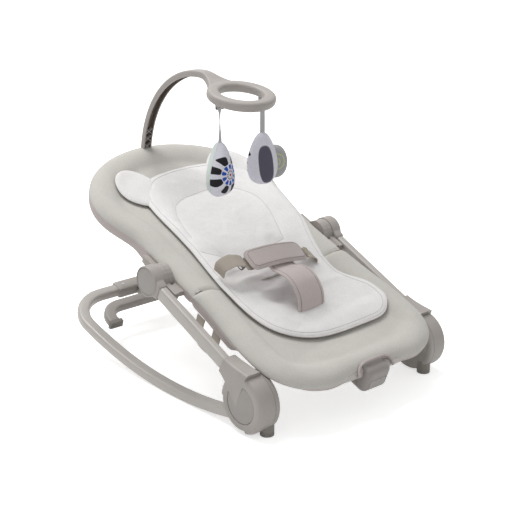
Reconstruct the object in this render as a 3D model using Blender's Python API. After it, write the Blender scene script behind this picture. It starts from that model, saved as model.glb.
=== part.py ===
# Folding baby rocker with a padded seat, a reclining backrest, a kickstand and a toy bar.
# Metres, +Z up, +Y towards the head end, X across; left is -X, as seen from the foot end.
# The origin is on the floor, in the middle of the rocker's width and length.

import bmesh
import bpy
from math import asin, cos, pi, radians, sin, tan
from mathutils import Vector
from mathutils.bvhtree import BVHTree

# Whole object
MIDDLE_Y = 0.2617          # from the lower hub axis to the middle of the rocker's length
TOUCH = 0.0003             # gap between pieces that touch
RUN = 0.0005               # gap between pieces that turn or slide past each other
DISC_SIDES = 24            # facets round the hubs and their caps
PIN_SIDES = 12             # facets round pins and their bores
TUBE_SIDES = 8             # facets round the loops' tubes

# Hubs
HUB_OUTER_X = 0.2520
LOWER_AXIS_Z = 0.060
UPPER_AXIS_Y = 0.281
UPPER_AXIS_Z = 0.223

# Rocker rails and the rear crossbar, one bent tube on each side
RAIL_X = 0.2335
RAIL_WIDTH = 0.026
RAIL_HEIGHT = 0.020
RAIL_CORNER = 0.007
TUBE_WALL = 0.0015
ROCKER_RADIUS = 0.95
ROCKER_CONTACT_Y = 0.215
RAIL_FRONT_Y = 0.040
TAIL_ANGLE = radians(17)
TAIL_LENGTH = 0.1063       # from the end of the rocker arc to the crossbar's centre line
CORNER_RADIUS = 0.0875

# Rear bridge
BRIDGE_HALF_LENGTH = 0.108
BRIDGE_WALL = 0.003
BRIDGE_SOCKET_DEPTH = 0.040
BRIDGE_LUG_X = 0.036
BRIDGE_LUG_WIDTH = 0.012
RIVET_RADIUS = 0.0035
RIVET_X = 0.090

# Kickstand, in the sloping plane of the rocker's tail
STAND_AXIS_T = -0.027
STAND_AXIS_N = -0.003
STAND_PIN_RADIUS = 0.003
STAND_BARREL_RADIUS = 0.0085
STAND_WIDTH = 0.026
STAND_HEIGHT = 0.018
STAND_BAR_T = -0.0505
STAND_BEND_X = 0.134
STAND_BEND_RADIUS = 0.045
STAND_END = 0.004          # straight length of an arm under its pad
PAD_WIDTH = 0.032
PAD_THICKNESS = 0.009

# Lower hub shells
SHELL_RADIUS = 0.058
SHELL_FACE_RADIUS = 0.050
SHELL_INNER_X = 0.202
SHELL_SPLIT_X = 0.2157
CAVITY_RADIUS = 0.0545
CAVITY_FROM = radians(-104)
CAVITY_TO = radians(6)
CAVITY_OUTER_X = 0.2482
CUP_RADIUS = 0.0412
CUP_FLOOR_X = 0.2425
CUP_WALL = 0.0035
EYE_RADIUS = 0.022
EYE_CLEARANCE = 0.0015
FOLD_PIN_RADIUS = 0.006
FOLD_BUTTON_RADIUS = 0.0370
FOLD_BUTTON_THICKNESS = 0.0057
SECTOR_FROM = radians(-96)
SECTOR_TO = radians(-50)
SECTOR_RADIUS = 0.0538
PLATE_INNER_X = 0.2215
PLATE_OUTER_X = 0.2385
RIB_POCKETS = 4
FOOT_X = 0.2145
FOOT_Y = -0.032
FOOT_RADIUS = 0.0135
FOOT_SEAT = 0.026
FOOT_SIDES = 14

# Legs
LEG_X = 0.2395
LEG_WIDTH = 0.0175
LEG_HEIGHT = 0.028
LEG_ANGLE = radians(24.3)
LEG_START = 0.034          # along the leg from the lower hub axis
NECK_END = 0.0765
NECK_WALL = 0.0032
NECK_SLANT = 0.55          # leans the neck's root clear of the cap's recess

# Upper hubs
DRUM_RADIUS = 0.031
LEG_DRUM_X = 0.2285
SEAT_DRUM_X = 0.2165
BACK_DRUM_X = 0.2045
INNER_DRUM_RADIUS = 0.029
DRUM_NECK_END = 0.056
LEG_TOP = 0.0345           # along the leg from the upper hub axis
DRUM_CUP_RADIUS = 0.0283
DRUM_CUP_FLOOR_X = 0.2440
DRUM_CUP_WALL = 0.003
RECLINE_PIN_RADIUS = 0.005
RECLINE_BUTTON_THICKNESS = 0.0047
RECLINE_ANGLE = radians(30)

# Seat and backrest loops, each in its own plane through the upper hub axis
SEAT_ANGLE = radians(21.0)
BACK_ANGLE = radians(22.3)
RIM_LIFT = 0.009           # from the hub axis up to the plane of the loops
LOOP_RADIUS = 0.0105
LOOP_WALL = 0.0013
SLEEVE_WALL = 0.002
SLEEVE_FROM = 0.0335
SLEEVE_TO = 0.085
LOOP_END = 0.045
HUB_HALF_WIDTH = 0.2035
SEAT_HALF_WIDTH = 0.2180
SEAT_FRONT_CENTRE = 0.270
SEAT_FRONT_DEPTH = 0.141
SEAT_FRONT_POWER = 3.0
BACK_HALF_WIDTH = 0.2280
BACK_HEAD_CENTRE = 0.198
BACK_HEAD_DEPTH = 0.184
BACK_HEAD_POWER = 2.0
END_INSET = 0.0175         # from the cover's outline in to the tube's centre line, at the hubs and ends
SEAT_SIDE_INSET = 0.0255   # the same beside the seat, where the tube passes inside the lower hubs

# Padded cover
PAD_THICKNESS_MIDDLE = 0.014
DISH_DEPTH = 0.020
RIM_BAND = 0.070
SEAT_RIM_RISE = 0.021
BACK_RIM_RISE = 0.019
HUB_RIM_RISE = 0.014
SKIRT_DEPTH = 0.020
JOINT_GAP = 0.003
SLIT_HALF_WIDTH = 0.030
SLIT_S = -0.213

# Padded insert
INSERT_THICKNESS = 0.011
INSERT_FRONT = 0.286
INSERT_FRONT_HALF_WIDTH = 0.160
INSERT_WAIST_S = 0.118
INSERT_WAIST_HALF_WIDTH = 0.144
INSERT_JOINT_HALF_WIDTH = 0.163
INSERT_SHOULDER_HALF_WIDTH = 0.160
INSERT_HEAD = 0.280
INSERT_SHIFT = 0.024       # sideways at the joint
INSERT_SKEW = 0.045        # more of it for each metre towards the head
EAR_U = 0.120
EAR_S = 0.250
EAR_RADIUS = 0.057

# Front unit
UNIT_HALF_WIDTH = 0.033
SEAT_TUBE_END_S = -(SEAT_FRONT_CENTRE + SEAT_FRONT_DEPTH - END_INSET)
UNIT_BACK_S = SEAT_TUBE_END_S + 0.0235
UNIT_FRONT_S = SEAT_TUBE_END_S - 0.0225
UNIT_TOP_N = 0.024
UNIT_BOTTOM_N = -0.030
UNIT_CORNER = 0.013
UNIT_NOTCH_MARGIN = 0.004
UNIT_TRAVEL = 0.0025
UNIT_BUTTON_HALF_WIDTH = 0.021
UNIT_BUTTON_LOW = -0.021
UNIT_BUTTON_HIGH = 0.000

# Harness
STRAP_THICKNESS = 0.004
STRAP_TAB_N = -0.0340      # the strap's sewn end, under the seat cover
CROTCH_WIDTH = 0.048
PAD_HALF_WIDTH = 0.080
PAD_LENGTH = 0.047
PAD_THICKNESS_WAIST = 0.009
PAD_CENTRE = (0.0, 0.1780, 0.2510)
PAD_PITCH = radians(34)
PAD_YAW = 0.10
PAD_ROLL = 0.11
PAD_DROOP = 0.008
BELT_WIDTH = 0.025
BELT_THICKNESS = 0.0016
BELT_SLOT_U = 0.112
BELT_SLOT_S = -0.088
BELT_MOUTH_N = 0.026
BELT_TAIL = 0.044          # from the slot's mouth down through the insert and the cover
BELT_LIFT = {"left": 0.016, "right": 0.003}
CARRY_X = 0.2015
CARRY_WIDTH = 0.024
CARRY_REAR_S = -0.121
CARRY_FRONT_S = -0.172
CARRY_TOP_N = -0.0115
CARRY_LOW_N = -0.062

# Toy bar
BAR_WIDTH = 0.021
BAR_DEPTH = 0.013
BAR_WALL = 0.0028
BAR_STEPS = 12
BOW_CURVE = ((0.612, 0.372), (0.600, 0.500), (0.505, 0.580), (0.405, 0.580))
PLUG_LENGTH = 0.027
SOCKET_HALF_WIDTH = 0.024
SOCKET_INNER = 0.0190
SOCKET_BOTTOM_N = -0.020
TUBE_GAP_HALF = 0.0140     # from the middle of the socket to the ends of the tubes
RING_CENTRE = (0.287, 0.5525)
RING_RADIUS = 0.057
RING_WIDTH = 0.0250
RING_HEIGHT = 0.0195
RING_PITCH = radians(7)

# Toys
TOY_X = 0.056
TOY_AXIS_Z = 0.5375
LUG_SPREAD = 0.0070
HEM_RADIUS = 0.0018
TOY_STRAP_WIDTH = 0.010
TOY_STRAP_THICKNESS = 0.0012
TOY_STRAP_LENGTH = 0.067
TOY_HEIGHT = 0.116
PILLOW_END_TURN = radians(14)

# Colour, roughness and metallic value of each finish
FINISHES = {
    "painted_tube": ((0.42, 0.38, 0.36), 0.42, 0.3),
    "frame_plastic": ((0.38, 0.35, 0.33), 0.5, 0.0),
    "dark_plastic": ((0.25, 0.23, 0.21), 0.55, 0.0),
    "steel": ((0.62, 0.62, 0.63), 0.3, 1.0),
    "rubber": ((0.10, 0.095, 0.09), 0.85, 0.0),
    "grey_cloth": ((0.54, 0.53, 0.50), 0.95, 0.0),
    "white_cloth": ((0.79, 0.77, 0.76), 0.95, 0.0),
    "taupe_cloth": ((0.43, 0.38, 0.37), 0.95, 0.0),
    "webbing": ((0.45, 0.40, 0.34), 0.9, 0.0),
    "toy_cloth": ((0.72, 0.71, 0.79), 0.9, 0.0),
    "toy_grey_cloth": ((0.42, 0.43, 0.43), 0.9, 0.0),
}


# Helpers for scene and objects

def clear_scene():
    for old in list(bpy.data.objects):
        bpy.data.objects.remove(old)


def finish_material(name):
    made = bpy.data.materials.get(name)
    if made is None:
        colour, roughness, metallic = FINISHES[name]
        made = bpy.data.materials.new(name)
        made.use_nodes = True
        shader = made.node_tree.nodes["Principled BSDF"]
        shader.inputs["Base Color"].default_value = (*colour, 1.0)
        shader.inputs["Roughness"].default_value = roughness
        shader.inputs["Metallic"].default_value = metallic
        made.diffuse_color = (*colour, 1.0)
    return made


def add_frame(name, parent, location=(0.0, 0.0, 0.0), tilt=0.0):
    """An empty that carries pieces; tilt turns it about X."""
    frame = bpy.data.objects.new(name, None)
    frame.empty_display_size = 0.03
    frame.parent = parent
    frame.location = location
    frame.rotation_euler = (tilt, 0.0, 0.0)
    bpy.context.collection.objects.link(frame)
    return frame


def closed_mesh(name, bm, smooth_angle=radians(32)):
    """Turn a closed bmesh into a mesh whose faces point out."""
    bmesh.ops.recalc_face_normals(bm, faces=bm.faces)
    if bm.calc_volume(signed=True) < 0:
        bmesh.ops.reverse_faces(bm, faces=bm.faces)
    mesh = bpy.data.meshes.new(name)
    bm.to_mesh(mesh)
    bm.free()
    mesh.shade_smooth()
    mesh.set_sharp_from_angle(angle=smooth_angle)
    return mesh


def add_piece(name, bm, finish, parent, location=(0.0, 0.0, 0.0)):
    piece = bpy.data.objects.new(name, closed_mesh(name, bm))
    piece.data.materials.append(finish_material(finish))
    piece.parent = parent
    piece.location = location
    bpy.context.collection.objects.link(piece)
    return piece


def add_guide(name, bm, parent, location=(0.0, 0.0, 0.0)):
    """A shape that cuts or joins a piece and is no part of the object."""
    guide = bpy.data.objects.new("guide_" + name, closed_mesh(name, bm))
    guide.parent = parent
    guide.location = location
    guide.hide_render = True
    guide.display_type = "WIRE"
    bpy.context.collection.objects.link(guide)
    return guide


def combine(piece, guide, operation):
    step = piece.modifiers.new(operation.lower() + "_" + guide.name, "BOOLEAN")
    step.operation = operation
    step.solver = "EXACT"
    step.object = guide


def cut(piece, guide):
    combine(piece, guide, "DIFFERENCE")


def join(piece, guide):
    combine(piece, guide, "UNION")


# Helpers for outlines and solids

def smooth_step(value):
    value = min(1.0, max(0.0, value))
    return value * value * (3.0 - 2.0 * value)


def mix(a, b, share):
    return a + (b - a) * share


def arc(centre, radius, start, end, steps):
    """Points on an arc in a plane, both ends included."""
    turns = [mix(start, end, i / steps) for i in range(steps + 1)]
    return [(centre[0] + radius * cos(turn), centre[1] + radius * sin(turn)) for turn in turns]


def rounded_rectangle(width, height, corner, steps=2):
    points = []
    for quarter, (across, up) in enumerate(((1, 1), (-1, 1), (-1, -1), (1, -1))):
        centre = (across * (width / 2 - corner), up * (height / 2 - corner))
        start = quarter * pi / 2
        points += arc(centre, corner, start, start + pi / 2, steps)
    return points


def circle(radius, sides):
    return [(radius * cos(2 * pi * i / sides), radius * sin(2 * pi * i / sides)) for i in range(sides)]


def skin_rings(rings, hollow_rings=None):
    """Skin closed rings of points in order; a second list makes the bore of an open tube."""
    bm = bmesh.new()
    walls = []
    for ring_list in (rings, hollow_rings or []):
        loops = [[bm.verts.new(point) for point in ring] for ring in ring_list]
        for first, second in zip(loops, loops[1:]):
            for i in range(len(first)):
                j = (i + 1) % len(first)
                bm.faces.new((first[i], first[j], second[j], second[i]))
        walls.append(loops)
    outer, inner = walls
    for end in (0, -1):
        if not inner:
            bm.faces.new(outer[end])
            continue
        for i in range(len(outer[end])):
            j = (i + 1) % len(outer[end])
            bm.faces.new((outer[end][i], outer[end][j], inner[end][j], inner[end][i]))
    return bm


def place_section(section, point, across, up):
    return [point + across * a + up * b for a, b in section]


def sweep(stations, section):
    """Sweep a section along stations, each a point with its across and up directions."""
    return skin_rings([place_section(section, *station) for station in stations])


def sweep_tube(stations, section, bore):
    outer = [place_section(section, *station) for station in stations]
    inner = [place_section(bore, *station) for station in stations]
    return skin_rings(outer, inner)


def flat_stations(path, height):
    """Stations along a path in a plane of constant height, section up along Z."""
    points = [Vector((a, b, height)) for a, b in path]
    stations = []
    for i, point in enumerate(points):
        before = points[max(i - 1, 0)]
        after = points[min(i + 1, len(points) - 1)]
        along = (after - before).normalized()
        stations.append((point, along.cross(Vector((0, 0, 1))), Vector((0, 0, 1))))
    return stations


def prism(outline, x_from, x_to):
    """Extrude an outline in the YZ plane along X."""
    rings = [[Vector((x, y, z)) for y, z in outline] for x in (x_from, x_to)]
    return skin_rings(rings)


def turned(profile, sides=DISC_SIDES):
    """Turn a profile of (x, radius) points about the X axis; one that stays off the axis makes a ring."""
    bm = bmesh.new()
    rings = []
    for x, radius in profile:
        if radius == 0.0:
            rings.append([bm.verts.new((x, 0.0, 0.0))])
        else:
            rings.append([bm.verts.new((x, a, b)) for a, b in circle(radius, sides)])
    if profile[0][1] > 0.0:
        rings.append(rings[0])
    for first, second in zip(rings, rings[1:]):
        for i in range(sides):
            j = (i + 1) % sides
            corners = [first[i % len(first)], first[j % len(first)],
                       second[j % len(second)], second[i % len(second)]]
            bm.faces.new(list(dict.fromkeys(corners)))
    return bm


def block(x_range, y_range, z_range, rounding=0.0, segments=2):
    bm = bmesh.new()
    bmesh.ops.create_cube(bm, size=1.0)
    size = [high - low for low, high in (x_range, y_range, z_range)]
    middle = [(high + low) / 2 for low, high in (x_range, y_range, z_range)]
    bmesh.ops.scale(bm, vec=size, verts=bm.verts)
    bmesh.ops.translate(bm, vec=middle, verts=bm.verts)
    if rounding:
        bmesh.ops.bevel(bm, geom=bm.edges[:], offset=rounding, segments=segments,
                        profile=0.5, affect="EDGES")
    return bm


# Base: rails, their end fittings and the rear bridge

def tail_start():
    radius = ROCKER_RADIUS - RAIL_HEIGHT / 2
    return Vector((0.0, ROCKER_CONTACT_Y + radius * sin(TAIL_ANGLE),
                   ROCKER_RADIUS - radius * cos(TAIL_ANGLE)))


def tail_direction():
    return Vector((0.0, cos(TAIL_ANGLE), sin(TAIL_ANGLE)))


def crossbar_centre():
    return tail_start() + tail_direction() * TAIL_LENGTH


def rocker_station(side, turn):
    radius = ROCKER_RADIUS - RAIL_HEIGHT / 2
    point = Vector((side * RAIL_X, ROCKER_CONTACT_Y + radius * sin(turn),
                    ROCKER_RADIUS - radius * cos(turn)))
    return point, Vector((1.0, 0.0, 0.0)), Vector((0.0, -sin(turn), cos(turn)))


def rocker_front_turn():
    return asin((RAIL_FRONT_Y - ROCKER_CONTACT_Y) / (ROCKER_RADIUS - RAIL_HEIGHT / 2))


def rail_stations(side, arc_steps=13, corner_steps=5):
    stations = []
    front = rocker_front_turn()
    front_steps = round(arc_steps * front / (front - TAIL_ANGLE))
    for i in range(front_steps):
        stations.append(rocker_station(side, front * (1 - i / front_steps)))
    for i in range(arc_steps - front_steps + 1):
        stations.append(rocker_station(side, TAIL_ANGLE * i / (arc_steps - front_steps)))
    back = tail_direction()
    inward = Vector((-side, 0.0, 0.0))
    normal = Vector((0.0, -sin(TAIL_ANGLE), cos(TAIL_ANGLE)))
    corner = tail_start() + Vector((side * RAIL_X, 0.0, 0.0)) + back * (TAIL_LENGTH - CORNER_RADIUS)
    for i in range(corner_steps + 1):
        turn = pi / 2 * i / corner_steps
        point = corner + back * CORNER_RADIUS * sin(turn) + inward * CORNER_RADIUS * (1 - cos(turn))
        across = (back * sin(turn) - inward * cos(turn)) * side
        stations.append((point, across, normal))
    end = crossbar_centre() + Vector((side * (BRIDGE_HALF_LENGTH - BRIDGE_SOCKET_DEPTH), 0.0, 0.0))
    stations.append((end, back * side, normal))
    return stations


def rail_section(inset=0.0):
    return rounded_rectangle(RAIL_WIDTH - 2 * inset, RAIL_HEIGHT - 2 * inset, RAIL_CORNER - inset, 1)


def make_rail(side, label, base):
    bm = sweep_tube(rail_stations(side), rail_section(), rail_section(TUBE_WALL))
    add_piece("rocker_rail_" + label, bm, "painted_tube", base)


def sector_outline(inner_radius, outer_radius, start, end, steps):
    """A ring sector in the YZ plane."""
    return arc((0, 0), outer_radius, start, end, steps) + arc((0, 0), inner_radius, end, start, steps)


def make_rail_end(side, label, fold_axis):
    """The plug in the rail's front end, with the eye that turns on the fold pin."""
    eye = turned([(side * PLATE_INNER_X, 0.0), (side * PLATE_INNER_X, EYE_RADIUS),
                  (side * PLATE_OUTER_X, EYE_RADIUS), (side * PLATE_OUTER_X, 0.0)])
    piece = add_piece("rail_end_" + label, eye, "dark_plastic", fold_axis)
    web_thickness = 0.0004
    wedge = [(0.0, 0.0)] + arc((0, 0), SECTOR_RADIUS, SECTOR_FROM, SECTOR_TO, 6)
    wedge += [(RAIL_FRONT_Y - 0.0030, -0.0380), (RAIL_FRONT_Y - 0.0015, -0.0245)]
    web = prism(wedge, side * (PLATE_INNER_X + web_thickness), side * (PLATE_OUTER_X - web_thickness))
    join(piece, add_guide("rail_end_web_" + label, web, fold_axis))
    front = rocker_front_turn()
    radius = ROCKER_RADIUS - RAIL_HEIGHT / 2
    spigot_length = 0.028
    collar_length = 0.005
    collar = place_section(rail_section(), *rocker_station(side, front - collar_length / radius))
    shoulder = place_section(rail_section(), *rocker_station(side, front - TOUCH / radius))
    neck = place_section(rail_section(TUBE_WALL + TOUCH), *rocker_station(side, front - TOUCH / radius))
    tip = place_section(rail_section(TUBE_WALL + TOUCH),
                        *rocker_station(side, front + spigot_length / radius))
    drop = Vector((0.0, 0.0, -LOWER_AXIS_Z))
    rings = [[point + drop for point in ring] for ring in (collar, shoulder, neck, tip)]
    join(piece, add_guide("rail_end_plug_" + label, skin_rings(rings), fold_axis))
    bore = turned([(side * 0.20, 0.0), (side * 0.20, FOLD_PIN_RADIUS + RUN),
                   (side * 0.26, FOLD_PIN_RADIUS + RUN), (side * 0.26, 0.0)], PIN_SIDES)
    cut(piece, add_guide("rail_end_bore_" + label, bore, fold_axis))
    pocket_gap = 0.0022
    pocket_floor = EYE_RADIUS + 0.010
    pocket_side = 0.003
    for i in range(RIB_POCKETS):
        step = (SECTOR_TO - SECTOR_FROM) / RIB_POCKETS
        half_gap = pocket_gap / (2 * SECTOR_RADIUS)
        start = SECTOR_FROM + step * i + half_gap
        outline = sector_outline(pocket_floor, SECTOR_RADIUS + 0.01, start, start + step - 2 * half_gap, 1)
        pocket = prism(outline, side * (PLATE_INNER_X + pocket_side), side * (PLATE_OUTER_X - pocket_side))
        cut(piece, add_guide("rib_pocket_%d_%s" % (i + 1, label), pocket, fold_axis))


def make_bridge(tail_plane):
    """The moulded bracket that joins the two rails across the back."""
    half_t = RAIL_WIDTH / 2 + BRIDGE_WALL
    half_n = RAIL_HEIGHT / 2 + BRIDGE_WALL
    body = block((-BRIDGE_HALF_LENGTH, BRIDGE_HALF_LENGTH), (-half_t, half_t), (-half_n, half_n), 0.005)
    bridge = add_piece("rear_bridge", body, "frame_plastic", tail_plane)
    lug_outline = [(-half_t + 0.004, half_n - 0.006)]
    lug_outline += arc((STAND_AXIS_T, STAND_AXIS_N), STAND_BARREL_RADIUS, radians(100), radians(260), 8)
    lug_outline += [(-half_t + 0.004, -half_n + 0.004)]
    for label, side in (("left", -1), ("right", 1)):
        floor_x = BRIDGE_HALF_LENGTH - BRIDGE_SOCKET_DEPTH - TOUCH
        socket = [Vector((side * floor_x, a, b)) for a, b in rail_section(-TOUCH)]
        mouth = [Vector((side * (BRIDGE_HALF_LENGTH + 0.01), a, b)) for a, b in rail_section(-TOUCH)]
        cut(bridge, add_guide("bridge_socket_" + label, skin_rings([socket, mouth]), tail_plane))
        x_range = (side * (BRIDGE_LUG_X - BRIDGE_LUG_WIDTH / 2),
                   side * (BRIDGE_LUG_X + BRIDGE_LUG_WIDTH / 2))
        join(bridge, add_guide("bridge_lug_" + label, prism(lug_outline, *x_range), tail_plane))
    cut(bridge, add_guide("bridge_pin_hole", stand_pin_bore(), tail_plane,
                          (0.0, STAND_AXIS_T, STAND_AXIS_N)))
    pocket_count = 6
    pocket_pitch = 0.0215
    pocket_half = 0.0075
    for i in range(pocket_count):
        middle = pocket_pitch * (i - (pocket_count - 1) / 2)
        pocket = block((middle - pocket_half, middle + pocket_half), (-half_t - 0.01, -half_t + 0.008),
                       (half_n - 0.012, half_n - 0.006))
        cut(bridge, add_guide("bridge_pocket_%d" % (i + 1), pocket, tail_plane))
    for label, side in (("left", -1), ("right", 1)):
        rivet = dome(RIVET_RADIUS, 0.0016)
        add_piece("bridge_rivet_" + label, rivet, "steel", tail_plane,
                  (side * RIVET_X, 0.0, half_n + TOUCH))


def stand_pin_bore():
    """The bore for the kickstand's pin, through all the lugs and ears in its way."""
    reach = 0.08
    radius = STAND_PIN_RADIUS + RUN
    return turned([(-reach, 0.0), (-reach, radius), (reach, radius), (reach, 0.0)], PIN_SIDES)


def dome(radius, height, sides=10, steps=2):
    """A domed rivet head, flat side down."""
    bm = bmesh.new()
    rings = []
    for i in range(steps):
        turn = pi / 2 * i / steps
        rings.append([bm.verts.new((a, b, height * sin(turn))) for a, b in circle(radius * cos(turn), sides)])
    top = bm.verts.new((0.0, 0.0, height))
    bm.faces.new(rings[0])
    for first, second in zip(rings, rings[1:] + [[top]]):
        for i in range(sides):
            j = (i + 1) % sides
            corners = [first[i], first[j], second[j % len(second)], second[i % len(second)]]
            bm.faces.new(list(dict.fromkeys(corners)))
    return bm


# Kickstand

def stand_path():
    """Half of the bar, from the end of the left arm to the middle, seen from above."""
    end_t = STAND_BAR_T - STAND_BEND_RADIUS
    bend = arc((-STAND_BEND_X, end_t), STAND_BEND_RADIUS, pi, pi / 2, 6)
    return [(bend[0][0], end_t - STAND_END)] + bend


def make_kickstand(stand_axis):
    half = stand_path()
    mirrored = [(-x, t) for x, t in reversed(half)]
    shift = Vector((0.0, -STAND_AXIS_T, -STAND_AXIS_N))
    stations = [(point + shift, across, up) for point, across, up in flat_stations(half + mirrored, 0.0)]
    section = rounded_rectangle(STAND_WIDTH, STAND_HEIGHT, 0.005, 1)
    bar = add_piece("kickstand_bar", sweep(stations, section), "frame_plastic", stand_axis)
    bar_edge = STAND_BAR_T - STAND_AXIS_T + STAND_WIDTH / 2 - 0.004
    ear = arc((0.0, 0.0), STAND_BARREL_RADIUS, radians(-100), radians(100), 8)
    ear += [(bar_edge, STAND_HEIGHT / 2 - 0.003 - STAND_AXIS_N),
            (bar_edge, -STAND_HEIGHT / 2 + 0.003 - STAND_AXIS_N)]
    lug_inner = BRIDGE_LUG_X - BRIDGE_LUG_WIDTH / 2 - RUN
    lug_outer = BRIDGE_LUG_X + BRIDGE_LUG_WIDTH / 2 + RUN
    outer_end = lug_outer + 0.018
    for label, x_range in (("middle", (-lug_inner, lug_inner)), ("left", (-outer_end, -lug_outer)),
                           ("right", (lug_outer, outer_end))):
        join(bar, add_guide("stand_ear_" + label, prism(ear, *x_range), stand_axis))
    cut(bar, add_guide("stand_pin_hole", stand_pin_bore(), stand_axis))
    for label, side in (("left", -1), ("right", 1)):
        x = side * (STAND_BEND_X + STAND_BEND_RADIUS)
        make_pad("kickstand_pad_" + label, x, stand_axis)


def make_pad(name, x, stand_axis):
    """A rubber foot on the end of an arm, with three grip grooves on its face."""
    front = STAND_BAR_T - STAND_BEND_RADIUS - STAND_END - STAND_AXIS_T - TOUCH
    half_height = STAND_HEIGHT / 2
    groove = 0.0015
    outline = [(front, half_height - STAND_AXIS_N),
               (front - PAD_THICKNESS, half_height - 0.002 - STAND_AXIS_N)]
    grooves = 3
    step = (STAND_HEIGHT - 0.004) / (grooves + 0.5)
    for i in range(grooves):
        top = half_height - 0.002 - step * (i + 0.5)
        outline += [(front - PAD_THICKNESS, top - STAND_AXIS_N),
                    (front - PAD_THICKNESS + groove, top - step * 0.25 - STAND_AXIS_N),
                    (front - PAD_THICKNESS, top - step * 0.5 - STAND_AXIS_N)]
    outline += [(front - PAD_THICKNESS, -half_height + 0.002 - STAND_AXIS_N),
                (front, -half_height - STAND_AXIS_N)]
    bm = prism(outline, x - PAD_WIDTH / 2, x + PAD_WIDTH / 2)
    add_piece(name, bm, "rubber", stand_axis)


def make_stand_pin(stand_axis):
    lug_outer = BRIDGE_LUG_X + BRIDGE_LUG_WIDTH / 2 + RUN
    half = lug_outer + 0.016
    pin = turned([(-half, 0.0), (-half, STAND_PIN_RADIUS),
                  (half, STAND_PIN_RADIUS), (half, 0.0)], PIN_SIDES)
    add_piece("kickstand_pin", pin, "steel", stand_axis)


# Lower hubs and legs

def leg_offset():
    """How far the leg's centre line passes above the lower hub axis."""
    rise = UPPER_AXIS_Z - LOWER_AXIS_Z
    return rise * cos(LEG_ANGLE) - UPPER_AXIS_Y * sin(LEG_ANGLE)


def leg_reach():
    """Along the leg, from the lower hub axis to the upper one."""
    rise = UPPER_AXIS_Z - LOWER_AXIS_Z
    return UPPER_AXIS_Y * cos(LEG_ANGLE) + rise * sin(LEG_ANGLE)


def leg_prism(side, start, end, wall_x, wall_z, corner, slant=0.0):
    """A straight length of the leg's section, thicker by a wall on every side; its lower end may slant."""
    height = LEG_HEIGHT + 2 * wall_z
    section = rounded_rectangle(LEG_WIDTH + 2 * wall_x, height, corner)
    rings = []
    for along, lean in ((start, slant), (end, 0.0)):
        rings.append([Vector((side * LEG_X + a, along + lean * (height / 2 - b), leg_offset() + b))
                      for a, b in section])
    return skin_rings(rings)


def make_leg(side, label, leg_plane):
    end = leg_reach() - LEG_TOP
    rings = []
    for inset in (0.0, TUBE_WALL):
        section = rounded_rectangle(LEG_WIDTH - 2 * inset, LEG_HEIGHT - 2 * inset, 0.005 - inset)
        rings.append([[Vector((side * LEG_X + a, along, leg_offset() + b)) for a, b in section]
                      for along in (LEG_START, end)])
    add_piece("leg_tube_" + label, skin_rings(*rings), "painted_tube", leg_plane)


def shell_rim(side, face_x, rim_x, steps=2):
    """The rounded shoulder of a hub shell, from its face out to its rim."""
    points = []
    for i in range(steps + 1):
        turn = pi / 2 * i / steps
        x = mix(rim_x, face_x, cos(turn))
        radius = mix(SHELL_FACE_RADIUS, SHELL_RADIUS, sin(turn))
        points.append((side * x, radius))
    return points


def make_hub_shells(side, label, fold_axis, leg_plane):
    split = SHELL_SPLIT_X + TOUCH
    bore = FOLD_PIN_RADIUS + TOUCH
    recess = FOLD_BUTTON_RADIUS + RUN
    profile = [(side * CUP_FLOOR_X, bore), (side * CUP_FLOOR_X, recess), (side * HUB_OUTER_X, recess)]
    profile += shell_rim(side, HUB_OUTER_X, HUB_OUTER_X - 0.008)
    profile += [(side * split, SHELL_RADIUS), (side * split, bore)]
    outer = add_piece("hub_shell_outer_" + label, turned(profile), "frame_plastic", fold_axis)
    neck = leg_prism(side, LEG_START - 0.008, NECK_END, NECK_WALL, NECK_WALL, 0.006, NECK_SLANT)
    join(outer, add_guide("hub_neck_" + label, neck, leg_plane))
    socket = leg_prism(side, LEG_START - TOUCH, NECK_END + 0.01, TOUCH, TOUCH, 0.005)
    cut(outer, add_guide("hub_socket_" + label, socket, leg_plane))
    hollow = arc((0, 0), CAVITY_RADIUS, CAVITY_FROM, CAVITY_TO, 10)
    hollow += arc((0, 0), EYE_RADIUS + EYE_CLEARANCE, CAVITY_TO, CAVITY_FROM + 2 * pi, 9)
    hollow_end = CUP_FLOOR_X - CUP_WALL
    room = prism(hollow, side * (SHELL_SPLIT_X - 0.01), side * hollow_end)
    cut(outer, add_guide("hub_hollow_" + label, room, fold_axis))
    margin = radians(1.3)
    window = sector_outline(CUP_RADIUS, SHELL_RADIUS + 0.02, CAVITY_FROM + margin, CAVITY_TO - margin, 8)
    rail_inner = RAIL_X - RAIL_WIDTH / 2 - 0.0015
    gap = prism(window, side * rail_inner, side * CAVITY_OUTER_X)
    cut(outer, add_guide("hub_window_" + label, gap, fold_axis))
    cut_foot_seat(outer, side, "outer_" + label, fold_axis)

    boss_radius = 0.0125
    boss_height = 0.003
    stem_radius = 0.012
    stem_x = PLATE_INNER_X - RUN
    profile = [(side * (SHELL_INNER_X - boss_height), 0.0),
               (side * (SHELL_INNER_X - boss_height), boss_radius), (side * SHELL_INNER_X, boss_radius)]
    profile += shell_rim(side, SHELL_INNER_X, SHELL_INNER_X + 0.007)
    profile += [(side * SHELL_SPLIT_X, SHELL_RADIUS), (side * SHELL_SPLIT_X, stem_radius),
                (side * stem_x, stem_radius), (side * stem_x, bore), (side * SHELL_INNER_X, bore),
                (side * SHELL_INNER_X, 0.0)]
    inner = add_piece("hub_shell_inner_" + label, turned(profile), "frame_plastic", fold_axis)
    cut_foot_seat(inner, side, "inner_" + label, fold_axis)


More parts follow.
